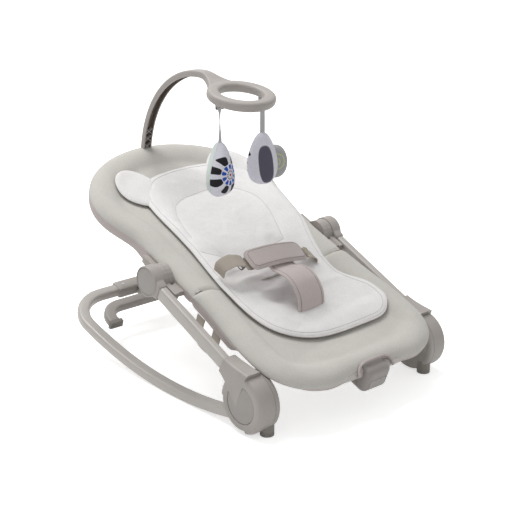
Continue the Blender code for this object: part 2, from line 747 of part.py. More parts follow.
def cut_foot_seat(shell, side, label, fold_axis):
    seat = [Vector((side * FOOT_X + a, FOOT_Y + b, z - LOWER_AXIS_Z))
            for z in (-0.01,) for a, b in circle(FOOT_RADIUS + TOUCH, FOOT_SIDES)]
    top = [Vector((side * FOOT_X + a, FOOT_Y + b, FOOT_SEAT + TOUCH - LOWER_AXIS_Z))
           for a, b in circle(FOOT_RADIUS + TOUCH, FOOT_SIDES)]
    cut(shell, add_guide("foot_seat_" + label, skin_rings([seat, top]), fold_axis))


def make_fold_pin(side, label, fold_axis):
    start = SHELL_INNER_X + TOUCH
    end = CUP_FLOOR_X - 0.0005
    pin = turned([(side * start, 0.0), (side * start, FOLD_PIN_RADIUS), (side * end, FOLD_PIN_RADIUS),
                  (side * end, 0.0)], PIN_SIDES)
    add_piece("fold_pin_" + label, pin, "steel", fold_axis)


def button_profile(side, radius, thickness, crown):
    """A pressed disc whose edge is rounded and whose face is slightly crowned."""
    edge = 0.0012
    return [(-side * thickness, 0.0), (-side * thickness, radius), (-side * (edge + crown), radius),
            (-side * crown, radius - edge), (-side * crown * 0.4, radius * 0.6), (0.0, 0.0)]


def make_fold_button(side, label, fold_axis):
    """The round cap of a lower hub, which is pressed to let the legs fold."""
    bm = turned(button_profile(side, FOLD_BUTTON_RADIUS, FOLD_BUTTON_THICKNESS, 0.0010))
    button = add_piece("fold_button_" + label, bm, "dark_plastic", fold_axis,
                       (side * HUB_OUTER_X, 0.0, 0.0))
    groove_depth = 0.0012
    groove = sector_outline(0.0255, 0.0270, radians(40), radians(200), 7)
    bm = prism(groove, side * -groove_depth, side * 0.01)
    cut(button, add_guide("button_groove_" + label, bm, fold_axis, (side * HUB_OUTER_X, 0.0, 0.0)))


def make_front_foot(side, label, fold_axis):
    """The rubber foot under a lower hub, ribbed round its free end."""
    rib = 0.0008
    stations = [(0.0, -0.0015), (0.0012, 0.0), (0.0035, 0.0), (0.0042, -rib), (0.0050, 0.0),
                (0.0072, 0.0), (0.0080, -rib), (0.0088, 0.0), (FOOT_SEAT, 0.0)]
    rings = []
    for height, change in stations:
        rings.append([Vector((side * FOOT_X + a, FOOT_Y + b, height - LOWER_AXIS_Z))
                      for a, b in circle(FOOT_RADIUS + change, FOOT_SIDES)])
    add_piece("front_foot_" + label, skin_rings(rings), "rubber", fold_axis)


# Upper hubs

def make_leg_drum(side, label, upper_axis, leg_plane):
    edge = 0.0018
    profile = [(side * LEG_DRUM_X, 0.0), (side * LEG_DRUM_X, DRUM_RADIUS),
               (side * (HUB_OUTER_X - edge), DRUM_RADIUS),
               (side * HUB_OUTER_X, DRUM_RADIUS - edge), (side * HUB_OUTER_X, 0.0)]
    drum = add_piece("leg_drum_" + label, turned(profile), "frame_plastic", upper_axis)
    wall_x = LEG_X - LEG_WIDTH / 2 - LEG_DRUM_X - 0.0006
    neck = leg_prism(side, leg_reach() - DRUM_NECK_END, leg_reach() - 0.012, wall_x, 0.0026, 0.005)
    join(drum, add_guide("drum_neck_" + label, neck, leg_plane))
    socket = leg_prism(side, leg_reach() - DRUM_NECK_END - 0.01, leg_reach() - LEG_TOP + TOUCH,
                       TOUCH, TOUCH, 0.005)
    cut(drum, add_guide("drum_socket_" + label, socket, leg_plane))
    cup = turned([(side * DRUM_CUP_FLOOR_X, 0.0), (side * DRUM_CUP_FLOOR_X, DRUM_CUP_RADIUS),
                  (side * (HUB_OUTER_X + 0.01), DRUM_CUP_RADIUS), (side * (HUB_OUTER_X + 0.01), 0.0)])
    cut(drum, add_guide("drum_cup_" + label, cup, upper_axis))
    cut(drum, add_guide("drum_bore_" + label, pin_bore(side), upper_axis))


def pin_bore(side):
    """The bore of the recline pin through the three drums of an upper hub."""
    start = BACK_DRUM_X - 0.01
    end = DRUM_CUP_FLOOR_X - DRUM_CUP_WALL + 0.001
    radius = RECLINE_PIN_RADIUS + TOUCH
    return turned([(side * start, 0.0), (side * start, radius),
                   (side * end, radius), (side * end, 0.0)], PIN_SIDES)


def make_recline_pin(side, label, upper_axis):
    start = BACK_DRUM_X + 0.0005
    end = DRUM_CUP_FLOOR_X - DRUM_CUP_WALL
    bm = turned([(side * start, 0.0), (side * start, RECLINE_PIN_RADIUS), (side * end, RECLINE_PIN_RADIUS),
                 (side * end, 0.0)], PIN_SIDES)
    add_piece("recline_pin_" + label, bm, "steel", upper_axis)


def make_recline_button(side, label, upper_axis):
    """The round cap of an upper hub, which is pressed to let the backrest turn."""
    bm = turned(button_profile(side, DRUM_CUP_RADIUS - TOUCH, RECLINE_BUTTON_THICKNESS, 0.0008))
    add_piece("recline_button_" + label, bm, "dark_plastic", upper_axis, (side * HUB_OUTER_X, 0.0, 0.0))


def make_loop_arm(name, side, along, drum_x, drum_end, plane):
    """The moulding that holds one end of a loop: drum, shoulder and sleeve; along is +1 to the head."""
    drum = turned([(side * drum_x, 0.0), (side * drum_x, INNER_DRUM_RADIUS),
                   (side * drum_end, INNER_DRUM_RADIUS), (side * drum_end, 0.0)], 20)
    arm = add_piece(name, drum, "dark_plastic", plane)
    inset = 0.0003
    root = [(0.0, -0.013), (along * 0.026, -0.013), (along * 0.062, -0.006), (along * 0.062, 0.0082),
            (along * 0.026, 0.0082), (0.0, 0.012)]
    web = prism(root, side * (drum_x + inset), side * (drum_end - inset))
    join(arm, add_guide(name + "_web", web, plane))
    tube_x = HUB_HALF_WIDTH - END_INSET
    shoulder = [(along * SLEEVE_FROM, -0.0045), (along * 0.059, -0.0045), (along * 0.059, 0.0070),
                (along * SLEEVE_FROM, 0.0070)]
    bridge = prism(shoulder, side * (tube_x + 0.002), side * (drum_end - 2 * inset))
    join(arm, add_guide(name + "_shoulder", bridge, plane))
    rings = []
    bore = []
    for s in (SLEEVE_FROM - 0.0003, SLEEVE_TO):
        rings.append([Vector((side * tube_x + a, along * s, RIM_LIFT + b))
                      for a, b in circle(LOOP_RADIUS + TOUCH + SLEEVE_WALL, TUBE_SIDES)])
    join(arm, add_guide(name + "_sleeve", skin_rings(rings), plane))
    for s in (LOOP_END - TOUCH, SLEEVE_TO + 0.01):
        bore.append([Vector((side * tube_x + a, along * s, RIM_LIFT + b))
                     for a, b in circle(LOOP_RADIUS + TOUCH, TUBE_SIDES)])
    cut(arm, add_guide(name + "_bore", skin_rings(bore), plane))
    cut(arm, add_guide(name + "_pin_bore", pin_bore(side), plane))


# Loops of the seat and backrest, and the padded cover on them

class Loop:
    """The planform of the seat or the backrest in its own plane; along is -1 to the foot, +1 to the head."""

    def __init__(self, along, half_width, side_inset, centre, depth, power, rise):
        self.along = along
        self.half_width = half_width
        self.side_inset = side_inset
        self.centre = centre
        self.depth = depth
        self.power = power
        self.rise = rise

    def side_place(self, s):
        """Half width of the tube's centre line and its inset, between the hub and the rounded end."""
        straight = SLEEVE_TO + 0.005
        share = smooth_step((s - straight) / (self.centre - straight))
        tube = mix(HUB_HALF_WIDTH - END_INSET, self.half_width - self.side_inset, share)
        return tube, mix(END_INSET, self.side_inset, share)

    def centre_line(self, start, end_steps=12):
        """The tube's centre line from left end to right end, as (u, s, inset)."""
        stops = [start] + [s for s in SIDE_STOPS if start < s < self.centre - 0.02]
        left = []
        for s in stops:
            tube, inset = self.side_place(s)
            left.append((-tube, self.along * s, inset))
        across = self.half_width - self.side_inset
        reach = self.depth - END_INSET
        bend = 2.0 / self.power
        end = []
        for i in range(end_steps + 1):
            turn = pi - pi * i / end_steps
            u = across * abs(cos(turn)) ** bend * (1 if cos(turn) > 0 else -1)
            s = self.centre + reach * abs(sin(turn)) ** bend
            end.append((u, self.along * s, mix(self.side_inset, END_INSET, sin(turn) ** 2)))
        right = [(-u, s, inset) for u, s, inset in reversed(left)]
        return left + end + right


SIDE_STOPS = (0.060, SLEEVE_TO + 0.003, SLEEVE_TO + 0.014, 0.132, 0.175, 0.222, 0.250)
SEAT_LOOP = Loop(-1, SEAT_HALF_WIDTH, SEAT_SIDE_INSET, SEAT_FRONT_CENTRE, SEAT_FRONT_DEPTH,
                 SEAT_FRONT_POWER, SEAT_RIM_RISE)
BACK_LOOP = Loop(1, BACK_HALF_WIDTH, END_INSET, BACK_HEAD_CENTRE, BACK_HEAD_DEPTH, BACK_HEAD_POWER,
                 BACK_RIM_RISE)


def make_tube(name, path, plane):
    stations = flat_stations([(u, s) for u, s, inset in path], RIM_LIFT)
    bm = sweep_tube(stations, circle(LOOP_RADIUS, TUBE_SIDES), circle(LOOP_RADIUS - LOOP_WALL, TUBE_SIDES))
    add_piece(name, bm, "painted_tube", plane)


def tube_cutter(name, loop, plane):
    """The room that a loop's tube needs in a piece it passes through."""
    stations = flat_stations([(u, s) for u, s, inset in loop.centre_line(LOOP_END)], RIM_LIFT)
    return add_guide(name, sweep(stations, circle(LOOP_RADIUS + TOUCH, TUBE_SIDES)), plane)


def skirt_share(loop, s):
    """How much of the skirt hangs at s: none at the hubs and, on the seat, over the lower hub shells."""
    share = smooth_step((s - 0.083) / 0.045)
    if loop.along < 0:
        share *= 1.0 - smooth_step((s - 0.222) / 0.028) * smooth_step((0.375 - s) / 0.020)
    return share


def rim_section(loop, s, inset):
    """The padded rim round the tube as (outward, up) from the tube's centre, top to underside."""
    share = skirt_share(loop, s)
    rise = mix(HUB_RIM_RISE, loop.rise, smooth_step((s - 0.02) / 0.10))
    inner = inset - RIM_BAND
    seam = 0.0006
    hem = mix(seam, -SKIRT_DEPTH, share)
    wall = mix(0.0145, max(0.0116, inset - 0.0075), share)
    points = [(inner, 0.002), (inner * 0.68, rise * 0.60),
              (inner * 0.38, rise * 0.93), (inner * 0.08, rise),
              (inset * 0.52, rise * 0.76), (inset * 0.90, rise * 0.36), (inset, seam),
              (inset - 0.0008, mix(seam, hem, 0.5)), (inset - mix(0.0013, 0.0035, share), hem),
              (wall, hem), (wall, 0.5 * seam)]
    facets = 5
    first = radians(4)
    last = radians(205)
    room = LOOP_RADIUS + TOUCH + (SLEEVE_WALL + TOUCH) * smooth_step((SLEEVE_TO + 0.013 - s) / 0.010)
    points += arc((0.0, 0.0), room / cos((last - first) / (2 * facets)), first, last, facets)
    points += [(-0.0175, -0.008), (inner * 0.66, -0.010), (inner, 0.002 - PAD_THICKNESS_MIDDLE)]
    return points


def make_cover(name, loop, plane):
    """A padded cover: crowned rim over the tube, dished middle, skirt outside the tube."""
    bm = bmesh.new()
    path = loop.centre_line(0.0)
    places = [Vector((u, s, 0.0)) for u, s, inset in path]
    last = len(places) - 1
    rows = []
    half_wedge = tan(RECLINE_ANGLE / 2 + radians(0.6))
    for i, place in enumerate(places):
        at_joint = i in (0, last)
        along = places[min(i + 1, last)] - places[max(i - 1, 0)]
        outward = Vector((-along.y, along.x, 0.0)).normalized() * (1 if loop.along > 0 else -1)
        if at_joint:
            outward = Vector((1.0 if place.x > 0 else -1.0, 0.0, 0.0))
        s = abs(place.y)
        spine = Vector((0.0, loop.along * min(s, loop.centre), 0.0))
        rim = [(place + outward * a, b) for a, b in rim_section(loop, s, path[i][2])]
        top = [(rim[0][0].lerp(spine, share), mix(0.002, -DISH_DEPTH, smooth_step(share)))
               for share in (1.0, 0.66, 0.33)]
        bottom = [(corner, level - PAD_THICKNESS_MIDDLE) for corner, level in reversed(top)]
        row = []
        for corner, level in top + rim + bottom:
            height = RIM_LIFT + level
            y = loop.along * (JOINT_GAP + max(0.0, height) * half_wedge) if at_joint else corner.y
            row.append(bm.verts.new((corner.x, y, height)))
        rows.append(row)
    for first, second in zip(rows, rows[1:]):
        for i in range(len(first) - 1):
            bm.faces.new((first[i], first[i + 1], second[i + 1], second[i]))
    bmesh.ops.remove_doubles(bm, verts=bm.verts, dist=0.00005)
    bmesh.ops.contextual_create(bm, geom=[edge for edge in bm.edges if edge.is_boundary])
    bmesh.ops.triangulate(bm, faces=bm.faces)
    return add_piece(name, bm, "grey_cloth", plane)


# Thin padded insert that lies on the cover

def insert_shift(s):
    """The insert lies a little off the middle, more so towards the head."""
    return INSERT_SHIFT + INSERT_SKEW * s


def seat_insert_side():
    """Half of the outline as (u, s), from the joint to the middle of the front edge."""
    side = [(INSERT_JOINT_HALF_WIDTH, 0.0),
            (mix(INSERT_JOINT_HALF_WIDTH, INSERT_WAIST_HALF_WIDTH, 0.55), -0.050),
            (INSERT_WAIST_HALF_WIDTH, -INSERT_WAIST_S)]
    corner = INSERT_FRONT_HALF_WIDTH - 0.070
    side += arc((corner, -INSERT_FRONT + 0.072), 0.070, radians(12), radians(-84), 6)
    side += [(0.040, -INSERT_FRONT)]
    return side


def back_insert_side():
    """Half of the outline as (u, s), from the joint round an ear to the middle of the head."""
    side = [(INSERT_JOINT_HALF_WIDTH, 0.0), (INSERT_JOINT_HALF_WIDTH - 0.003, 0.060),
            (INSERT_SHOULDER_HALF_WIDTH, 0.120), (INSERT_SHOULDER_HALF_WIDTH - 0.006, 0.175)]
    junction = asin((INSERT_HEAD - EAR_S) / EAR_RADIUS)
    side += arc((EAR_U, EAR_S), EAR_RADIUS, radians(-52), pi - junction, 9)
    side += [(0.035, INSERT_HEAD)]
    return side


def settle_on(cover_surface, corners, faces):
    """Raise a sheet's underside, given as (u, s), until each of its triangles clears the cover."""
    gap = 0.0007
    grid = 6

    def surface(u, s):
        hit = cover_surface.ray_cast(Vector((u, s, 0.2)), Vector((0.0, 0.0, -1.0)))
        return hit[0].z if hit[0] else -DISH_DEPTH

    levels = [surface(u, s) + gap for u, s in corners]
    shares = [(i / grid, j / grid, (grid - i - j) / grid) for i in range(grid + 1) for j in range(grid + 1 - i)]
    spots = []
    for face in faces:
        for weights in shares:
            u = sum(corners[k][0] * weight for k, weight in zip(face, weights))
            s = sum(corners[k][1] * weight for k, weight in zip(face, weights))
            spots.append((face, weights, surface(u, s) + gap))
    for attempt in range(8):
        for face, weights, needed in spots:
            lack = needed - sum(levels[k] * weight for k, weight in zip(face, weights))
            if lack > 0:
                spread = sum(weight * weight for weight in weights)
                for k, weight in zip(face, weights):
                    levels[k] += lack * weight / spread
    return levels


def make_insert(name, side, along, cover, plane):
    """A quilted sheet with a rounded edge, laid on the cover."""
    vertices = [v.co.copy() for v in cover.data.vertices]
    cover_surface = BVHTree.FromPolygons(vertices, [tuple(f.vertices) for f in cover.data.polygons])
    outline = [(-u, s) for u, s in side] + [(u, s) for u, s in reversed(side)]
    shares = (0.0, 0.05, 0.16, 0.40, 0.70, 1.0)
    swell = (0.30, 0.72, 0.92, 1.0, 1.0, 1.0)
    spine_end = 0.8 * max(abs(s) for u, s in side)
    corners = []
    last = len(outline) - 1
    for i, (u, s) in enumerate(outline):
        for share in shares:
            spine_s = along * min(abs(s), spine_end)
            place_u = mix(u, 0.0, share)
            place_s = mix(s, spine_s, share)
            if i in (0, last):
                place_s = along * (JOINT_GAP + 0.009)
            corners.append((place_u + insert_shift(place_s), place_s))
    count = len(shares)
    faces = []
    for i in range(last):
        for j in range(count - 1):
            k = i * count + j
            faces += [(k, k + 1, k + count + 1), (k, k + count + 1, k + count)]
    levels = settle_on(cover_surface, corners, faces)
    bm = bmesh.new()
    half_wedge = tan(RECLINE_ANGLE / 2 + radians(0.6))
    rows = []
    for i in range(len(outline)):
        row = []
        for layer in (1, 0):
            order = range(count) if layer == 0 else reversed(range(count))
            for j in order:
                u, s = corners[i * count + j]
                level = levels[i * count + j] + layer * INSERT_THICKNESS * swell[j]
                if i in (0, last):
                    s = along * (JOINT_GAP + max(0.0, level) * half_wedge)
                row.append(bm.verts.new((u, s, level)))
        rows.append(row)
    for first, second in zip(rows, rows[1:]):
        for i in range(len(first) - 1):
            bm.faces.new((first[i], first[i + 1], second[i + 1]))
            bm.faces.new((first[i], second[i + 1], second[i]))
    bmesh.ops.remove_doubles(bm, verts=bm.verts, dist=0.00005)
    bmesh.ops.contextual_create(bm, geom=[edge for edge in bm.edges if edge.is_boundary])
    return add_piece(name, bm, "white_cloth", plane)


# Unit at the front of the seat

def unit_box(margin=0.0):
    return block((-UNIT_HALF_WIDTH - margin, UNIT_HALF_WIDTH + margin),
                 (UNIT_FRONT_S - margin, UNIT_BACK_S + margin),
                 (UNIT_BOTTOM_N - margin, UNIT_TOP_N + margin), UNIT_CORNER, 3)


def unit_half(name, keep_front, seat_plane):
    """One half of the unit's housing, split at the tube's centre line."""
    side = 1.0 if keep_front else -1.0
    bm = unit_box()
    bmesh.ops.bisect_plane(bm, geom=bm.verts[:] + bm.edges[:] + bm.faces[:],
                           plane_co=(0.0, SEAT_TUBE_END_S - side * TOUCH / 2, 0.0), plane_no=(0.0, side, 0.0),
                           clear_outer=True)
    bmesh.ops.contextual_create(bm, geom=[edge for edge in bm.edges if edge.is_boundary])
    half = add_piece(name, bm, "dark_plastic", seat_plane)
    cut(half, tube_cutter(name + "_channel", SEAT_LOOP, seat_plane))
    return half


def wave_outline(half_width, low, high, wave, steps=12):
    """A rounded plate in (u, n) whose upper edge is a wave."""
    corner = 0.004
    outline = arc((-half_width + corner, low + corner), corner, pi, 1.5 * pi, 3)
    outline += arc((half_width - corner, low + corner), corner, 1.5 * pi, 2 * pi, 3)
    for i in range(steps + 1):
        u = mix(half_width, -half_width, i / steps)
        outline.append((u, high + wave * cos(3 * pi * u / half_width)))
    return outline


def plate_across(outline, s_from, s_to):
    """Extrude an outline in (u, n) along s."""
    return skin_rings([[Vector((u, s, n)) for u, n in outline] for s in (s_from, s_to)])


def make_front_unit(seat_plane, cover):
    cut(cover, add_guide("unit_notch", unit_box(UNIT_NOTCH_MARGIN), seat_plane))
    front = unit_half("unit_front_shell", True, seat_plane)
    unit_half("unit_rear_shell", False, seat_plane)
    proud = 0.0004
    thickness = 0.0040
    floor = UNIT_FRONT_S + thickness + UNIT_TRAVEL + TOUCH
    room = wave_outline(UNIT_BUTTON_HALF_WIDTH + RUN, UNIT_BUTTON_LOW - RUN, UNIT_BUTTON_HIGH + RUN, 0.0012)
    cut(front, add_guide("unit_recess", plate_across(room, UNIT_FRONT_S - 0.01, floor), seat_plane))
    outline = wave_outline(UNIT_BUTTON_HALF_WIDTH, UNIT_BUTTON_LOW, UNIT_BUTTON_HIGH, 0.0012)
    bm = plate_across(outline, UNIT_FRONT_S - proud, UNIT_FRONT_S + thickness)
    add_piece("unit_button", bm, "frame_plastic", seat_plane)


# Harness

def ribbon(points, across, width, thickness):
    """A strap along points; across gives its width direction at each point."""
    stations = []
    last = len(points) - 1
    for i, point in enumerate(points):
        along = (points[min(i + 1, last)] - points[max(i - 1, 0)]).normalized()
        side = across[i].normalized()
        up = side.cross(along).normalized()
        stations.append((point, up.cross(along).normalized(), up))
    return sweep(stations, rounded_rectangle(width, thickness, thickness * 0.45, 1))


def make_crotch_strap(base):
    """The padded strap that comes up through the seat and bends back under the waist pad."""
    seat_end = [seat_point(SLIT_S + 0.030, STRAP_TAB_N), seat_point(SLIT_S + 0.012, STRAP_TAB_N),
                seat_point(SLIT_S + 0.004, STRAP_TAB_N + 0.001), seat_point(SLIT_S, STRAP_TAB_N + 0.005),
                seat_point(SLIT_S, STRAP_TAB_N + 0.0085), seat_point(SLIT_S, 0.006)]
    curve = [(0.0775, 0.1760), (0.0862, 0.1955), (0.1005, 0.2120), (0.1190, 0.2228), (0.1400, 0.2266)]
    points = seat_end + [Vector((0.0, y, z)) for y, z in curve]
    under = -PAD_THICKNESS_WAIST / 2 - STRAP_THICKNESS / 2 - 0.0016
    across = [Vector((1.0, 0.0, 0.0))] * (len(points) - 1)
    across.append(Vector((1.0, 0.0, -0.5 * PAD_ROLL)))
    points += [pad_point(0.0, b, under) for b in (-0.029, 0.016)]
    across += [pad_point(0.01, 0.0, 0.0) - pad_point(-0.01, 0.0, 0.0)] * 2
    bm = ribbon(points, across, CROTCH_WIDTH, STRAP_THICKNESS)
    add_piece("crotch_strap", bm, "taupe_cloth", base)


def seat_point(s, n, u=0.0):
    """A point of the seat's plane, from the lower hub axis at floor level."""
    return Vector((u, UPPER_AXIS_Y + s * cos(SEAT_ANGLE) - n * sin(SEAT_ANGLE),
                   UPPER_AXIS_Z + s * sin(SEAT_ANGLE) + n * cos(SEAT_ANGLE)))


def pad_point(a, b, c):
    """A point of the waist pad: a across, b towards the back, c off its face; its ends droop."""
    long_axis = Vector((1.0, PAD_YAW, -PAD_ROLL)).normalized()
    back_axis = Vector((0.0, cos(PAD_PITCH), sin(PAD_PITCH)))
    face = long_axis.cross(back_axis).normalized()
    droop = PAD_DROOP * (a / PAD_HALF_WIDTH) ** 2
    return Vector(PAD_CENTRE) + long_axis * a + back_axis * b + face * (c - droop)


def make_waist_pad(base):
    """A padded bar across the waist with rounded ends and piped edges."""
    steps = 12
    rings = []
    for i in range(steps + 1):
        turn = -pi / 2 + pi * i / steps
        a = PAD_HALF_WIDTH * sin(turn)
        end_share = abs(sin(turn)) ** 6
        length = PAD_LENGTH * (1.0 - 0.30 * end_share)
        thickness = PAD_THICKNESS_WAIST * (1.0 - 0.55 * end_share)
        section = rounded_rectangle(length, thickness, thickness * 0.45, 1)
        rings.append([pad_point(a, b, c) for b, c in section])
    add_piece("waist_pad", skin_rings(rings), "taupe_cloth", base)


def make_belt(side, label, base, mouth):
    """Webbing from the end of the waist pad over an arch into a slot beside the seat."""
    under = -PAD_THICKNESS_WAIST / 2 - BELT_THICKNESS / 2 - 0.0010
    start = pad_point(side * (PAD_HALF_WIDTH - 0.016), 0.0, under)
    rim = pad_point(side * (PAD_HALF_WIDTH + 0.002), 0.0, under)
    down = Vector((0.0, sin(SEAT_ANGLE), -cos(SEAT_ANGLE)))
    rise = Vector((0.0, 0.0, BELT_LIFT[label]))
    first = rim.lerp(mouth, 0.20) + rise * 0.8
    second = rim.lerp(mouth, 0.66) + rise
    points = [start, rim, first, second, mouth, mouth + down * BELT_TAIL]
    middle_pitch = 0.5 * (PAD_PITCH + SEAT_ANGLE)
    pitches = [PAD_PITCH, PAD_PITCH, middle_pitch, middle_pitch, SEAT_ANGLE, SEAT_ANGLE]
    across = [Vector((0.0, cos(pitch), sin(pitch))) for pitch in pitches]
    add_piece("waist_belt_" + label, ribbon(points, across, BELT_WIDTH, BELT_THICKNESS), "webbing", base)
    along = (second - first).normalized()
    up = across[2].cross(along).normalized() * -side
    make_slider("belt_slider_" + label, (first + second) / 2, along, up.cross(along).normalized(), up, base)


def make_slider(name, centre, along, across, up, base):
    """A flat length adjuster: a frame with the belt through its two windows."""
    half_along = 0.0062
    half_across = BELT_WIDTH / 2 + 0.003
    low = BELT_THICKNESS / 2 + 0.0010
    high = low + 0.0028
    rings = [[centre + along * a + across * b + up * c
              for a, b in rounded_rectangle(2 * half_along, 2 * half_across, 0.003, 2)]
             for c in (low, high)]
    slider = add_piece(name, skin_rings(rings), "dark_plastic", base)
    for i, middle in enumerate((-0.0028, 0.0028)):
        window = [[centre + along * (middle + a) + across * b + up * c
                   for a, b in rounded_rectangle(0.0030, BELT_WIDTH + 0.001, 0.001, 1)]
                  for c in (-0.01, 0.01)]
        cut(slider, add_guide("%s_window_%d" % (name, i + 1), skin_rings(window), base))


def make_carry_strap(side, label, seat_plane):
    """A webbing loop that hangs inside the leg, sewn in under the cover's rim."""
    x = side * CARRY_X
    top = CARRY_TOP_N
    low = CARRY_LOW_N
    corner = 0.020
    path = [(CARRY_REAR_S, top), (CARRY_REAR_S, low + corner)]
    path += arc((CARRY_REAR_S - corner, low + corner), corner, 0.0, -pi / 2, 4)[1:]
    path += arc((CARRY_FRONT_S + corner, low + corner), corner, -pi / 2, -pi, 4)
    path += [(CARRY_FRONT_S, top)]
    points = [Vector((x, s, n)) for s, n in path]
    last = len(points) - 1
    across = []
    for i in range(len(points)):
        along = (points[min(i + 1, last)] - points[max(i - 1, 0)]).normalized()
        across.append(along.cross(Vector((1.0, 0.0, 0.0))))
    add_piece("carry_strap_" + label, ribbon(points, across, CARRY_WIDTH, BELT_THICKNESS), "webbing", seat_plane)


# Toy bar and toys

def bezier(a, b, c, d, share):
    rest = 1.0 - share
    return a * rest ** 3 + b * (3 * share * rest ** 2) + c * (3 * share ** 2 * rest) + d * share ** 3


def bow_stations():
    """Points of the bow with its width at each, from the socket to the ring."""
    first = [Vector((0.0, y, z)) for y, z in BOW_CURVE]
    reach = RING_RADIUS * cos(RING_PITCH)
    rear = Vector((0.0, RING_CENTRE[0] + reach, RING_CENTRE[1] + RING_RADIUS * sin(RING_PITCH)))
    slope = Vector((0.0, cos(RING_PITCH), sin(RING_PITCH)))
    second = [first[3], first[3] + Vector((0.0, -0.022, 0.0)), rear + slope * 0.026, rear]
    stations = []
    for i in range(BAR_STEPS):
        share = i / BAR_STEPS
        stations.append((bezier(*first, share), mix(BAR_WIDTH, BAR_WIDTH + 0.003, share)))
    flare_steps = 5
    for i in range(flare_steps + 1):
        share = i / flare_steps
        stations.append((bezier(*second, share), mix(BAR_WIDTH + 0.003, RING_WIDTH * 1.6, share ** 2)))
    return stations


def channel_section(width):
    """A channel open on the side of the child."""
    half = width / 2
    depth = BAR_DEPTH / 2
    edge = 0.003
    return [(-half, -depth), (-half + BAR_WALL, -depth), (-half + BAR_WALL, depth - BAR_WALL),
            (half - BAR_WALL, depth - BAR_WALL), (half - BAR_WALL, -depth), (half, -depth),
            (half, depth - edge), (half - edge, depth), (-half + edge, depth), (-half, depth - edge)]


def make_toy_bar(bar_frame):
    """Bow, ring, plug and the lugs for the toys, one moulding."""
    across = Vector((1.0, 0.0, 0.0))
    stations = bow_stations()
    last = len(stations) - 1
    rings = []
    for i, (point, width) in enumerate(stations):
        along = (stations[min(i + 1, last)][0] - stations[max(i - 1, 0)][0]).normalized()
        rings.append(place_section(channel_section(width), point, across, along.cross(across)))
    bar = add_piece("toy_bar", skin_rings(rings), "frame_plastic", bar_frame)
    ring_steps = 26
    section = rounded_rectangle(RING_WIDTH, RING_HEIGHT, 0.007, 1)
    bm = bmesh.new()
    loops = []
    for i in range(ring_steps):
        turn = 2 * pi * i / ring_steps
        out = Vector((sin(turn), cos(turn) * cos(RING_PITCH), cos(turn) * sin(RING_PITCH)))
        up = Vector((0.0, -sin(RING_PITCH), cos(RING_PITCH)))
        centre = Vector((0.0, RING_CENTRE[0], RING_CENTRE[1])) + out * RING_RADIUS
        loops.append([bm.verts.new(point) for point in place_section(section, centre, out, up)])
    for first, second in zip(loops, loops[1:] + loops[:1]):
        for i in range(len(first)):
            j = (i + 1) % len(first)
            bm.faces.new((first[i], first[j], second[j], second[i]))
    join(bar, add_guide("ring", bm, bar_frame))
    foot = Vector((0.0, *BOW_CURVE[0]))
    rise = (Vector((0.0, *BOW_CURVE[1])) - foot).normalized()
    outward = rise.cross(across)
    plug = rounded_rectangle(BAR_WIDTH - 0.0004, BAR_DEPTH - 0.0004, 0.0025, 1)
    rings = [place_section(plug, foot + rise * height, across, outward) for height in (-PLUG_LENGTH, 0.008)]
    join(bar, add_guide("bar_plug", skin_rings(rings), bar_frame))
    rib = rounded_rectangle(0.0016, BAR_DEPTH - BAR_WALL, 0.0003, 1)
    half = BAR_WIDTH / 2 - BAR_WALL / 2
    cell = 0.019
    for i in range(3):
        for side in (-1, 1):
            low = foot + rise * (0.012 + cell * i) + across * half * side
            high = foot + rise * (0.008 + cell * (i + 1)) - across * half * side
            along = (high - low).normalized()
            middle = outward * (0.0004 + 0.0004 * side)
            rings = [place_section(rib, end + middle, along.cross(outward), outward) for end in (low, high)]
            join(bar, add_guide("bar_rib_%d_%d" % (i + 1, side + 2), skin_rings(rings), bar_frame))
    top = RING_CENTRE[1] - RING_HEIGHT / 2 + 0.004
    bottom = TOY_AXIS_Z - HEM_RADIUS - 0.0018
    lug = rounded_rectangle(0.008, top - bottom, 0.002)
    for middle in (-TOY_X - LUG_SPREAD, -TOY_X + LUG_SPREAD, TOY_X - LUG_SPREAD, TOY_X + LUG_SPREAD):
        sides = [[Vector((x, RING_CENTRE[0] + a, (top + bottom) / 2 + b)) for a, b in lug]
                 for x in (middle - 0.001, middle + 0.001)]
        eyes = [[Vector((x, RING_CENTRE[0] + a, TOY_AXIS_Z + b)) for a, b in circle(HEM_RADIUS + TOUCH, 12)]
                for x in (middle - 0.001, middle + 0.001)]
        join(bar, add_guide("toy_lug", skin_rings(sides, eyes), bar_frame))


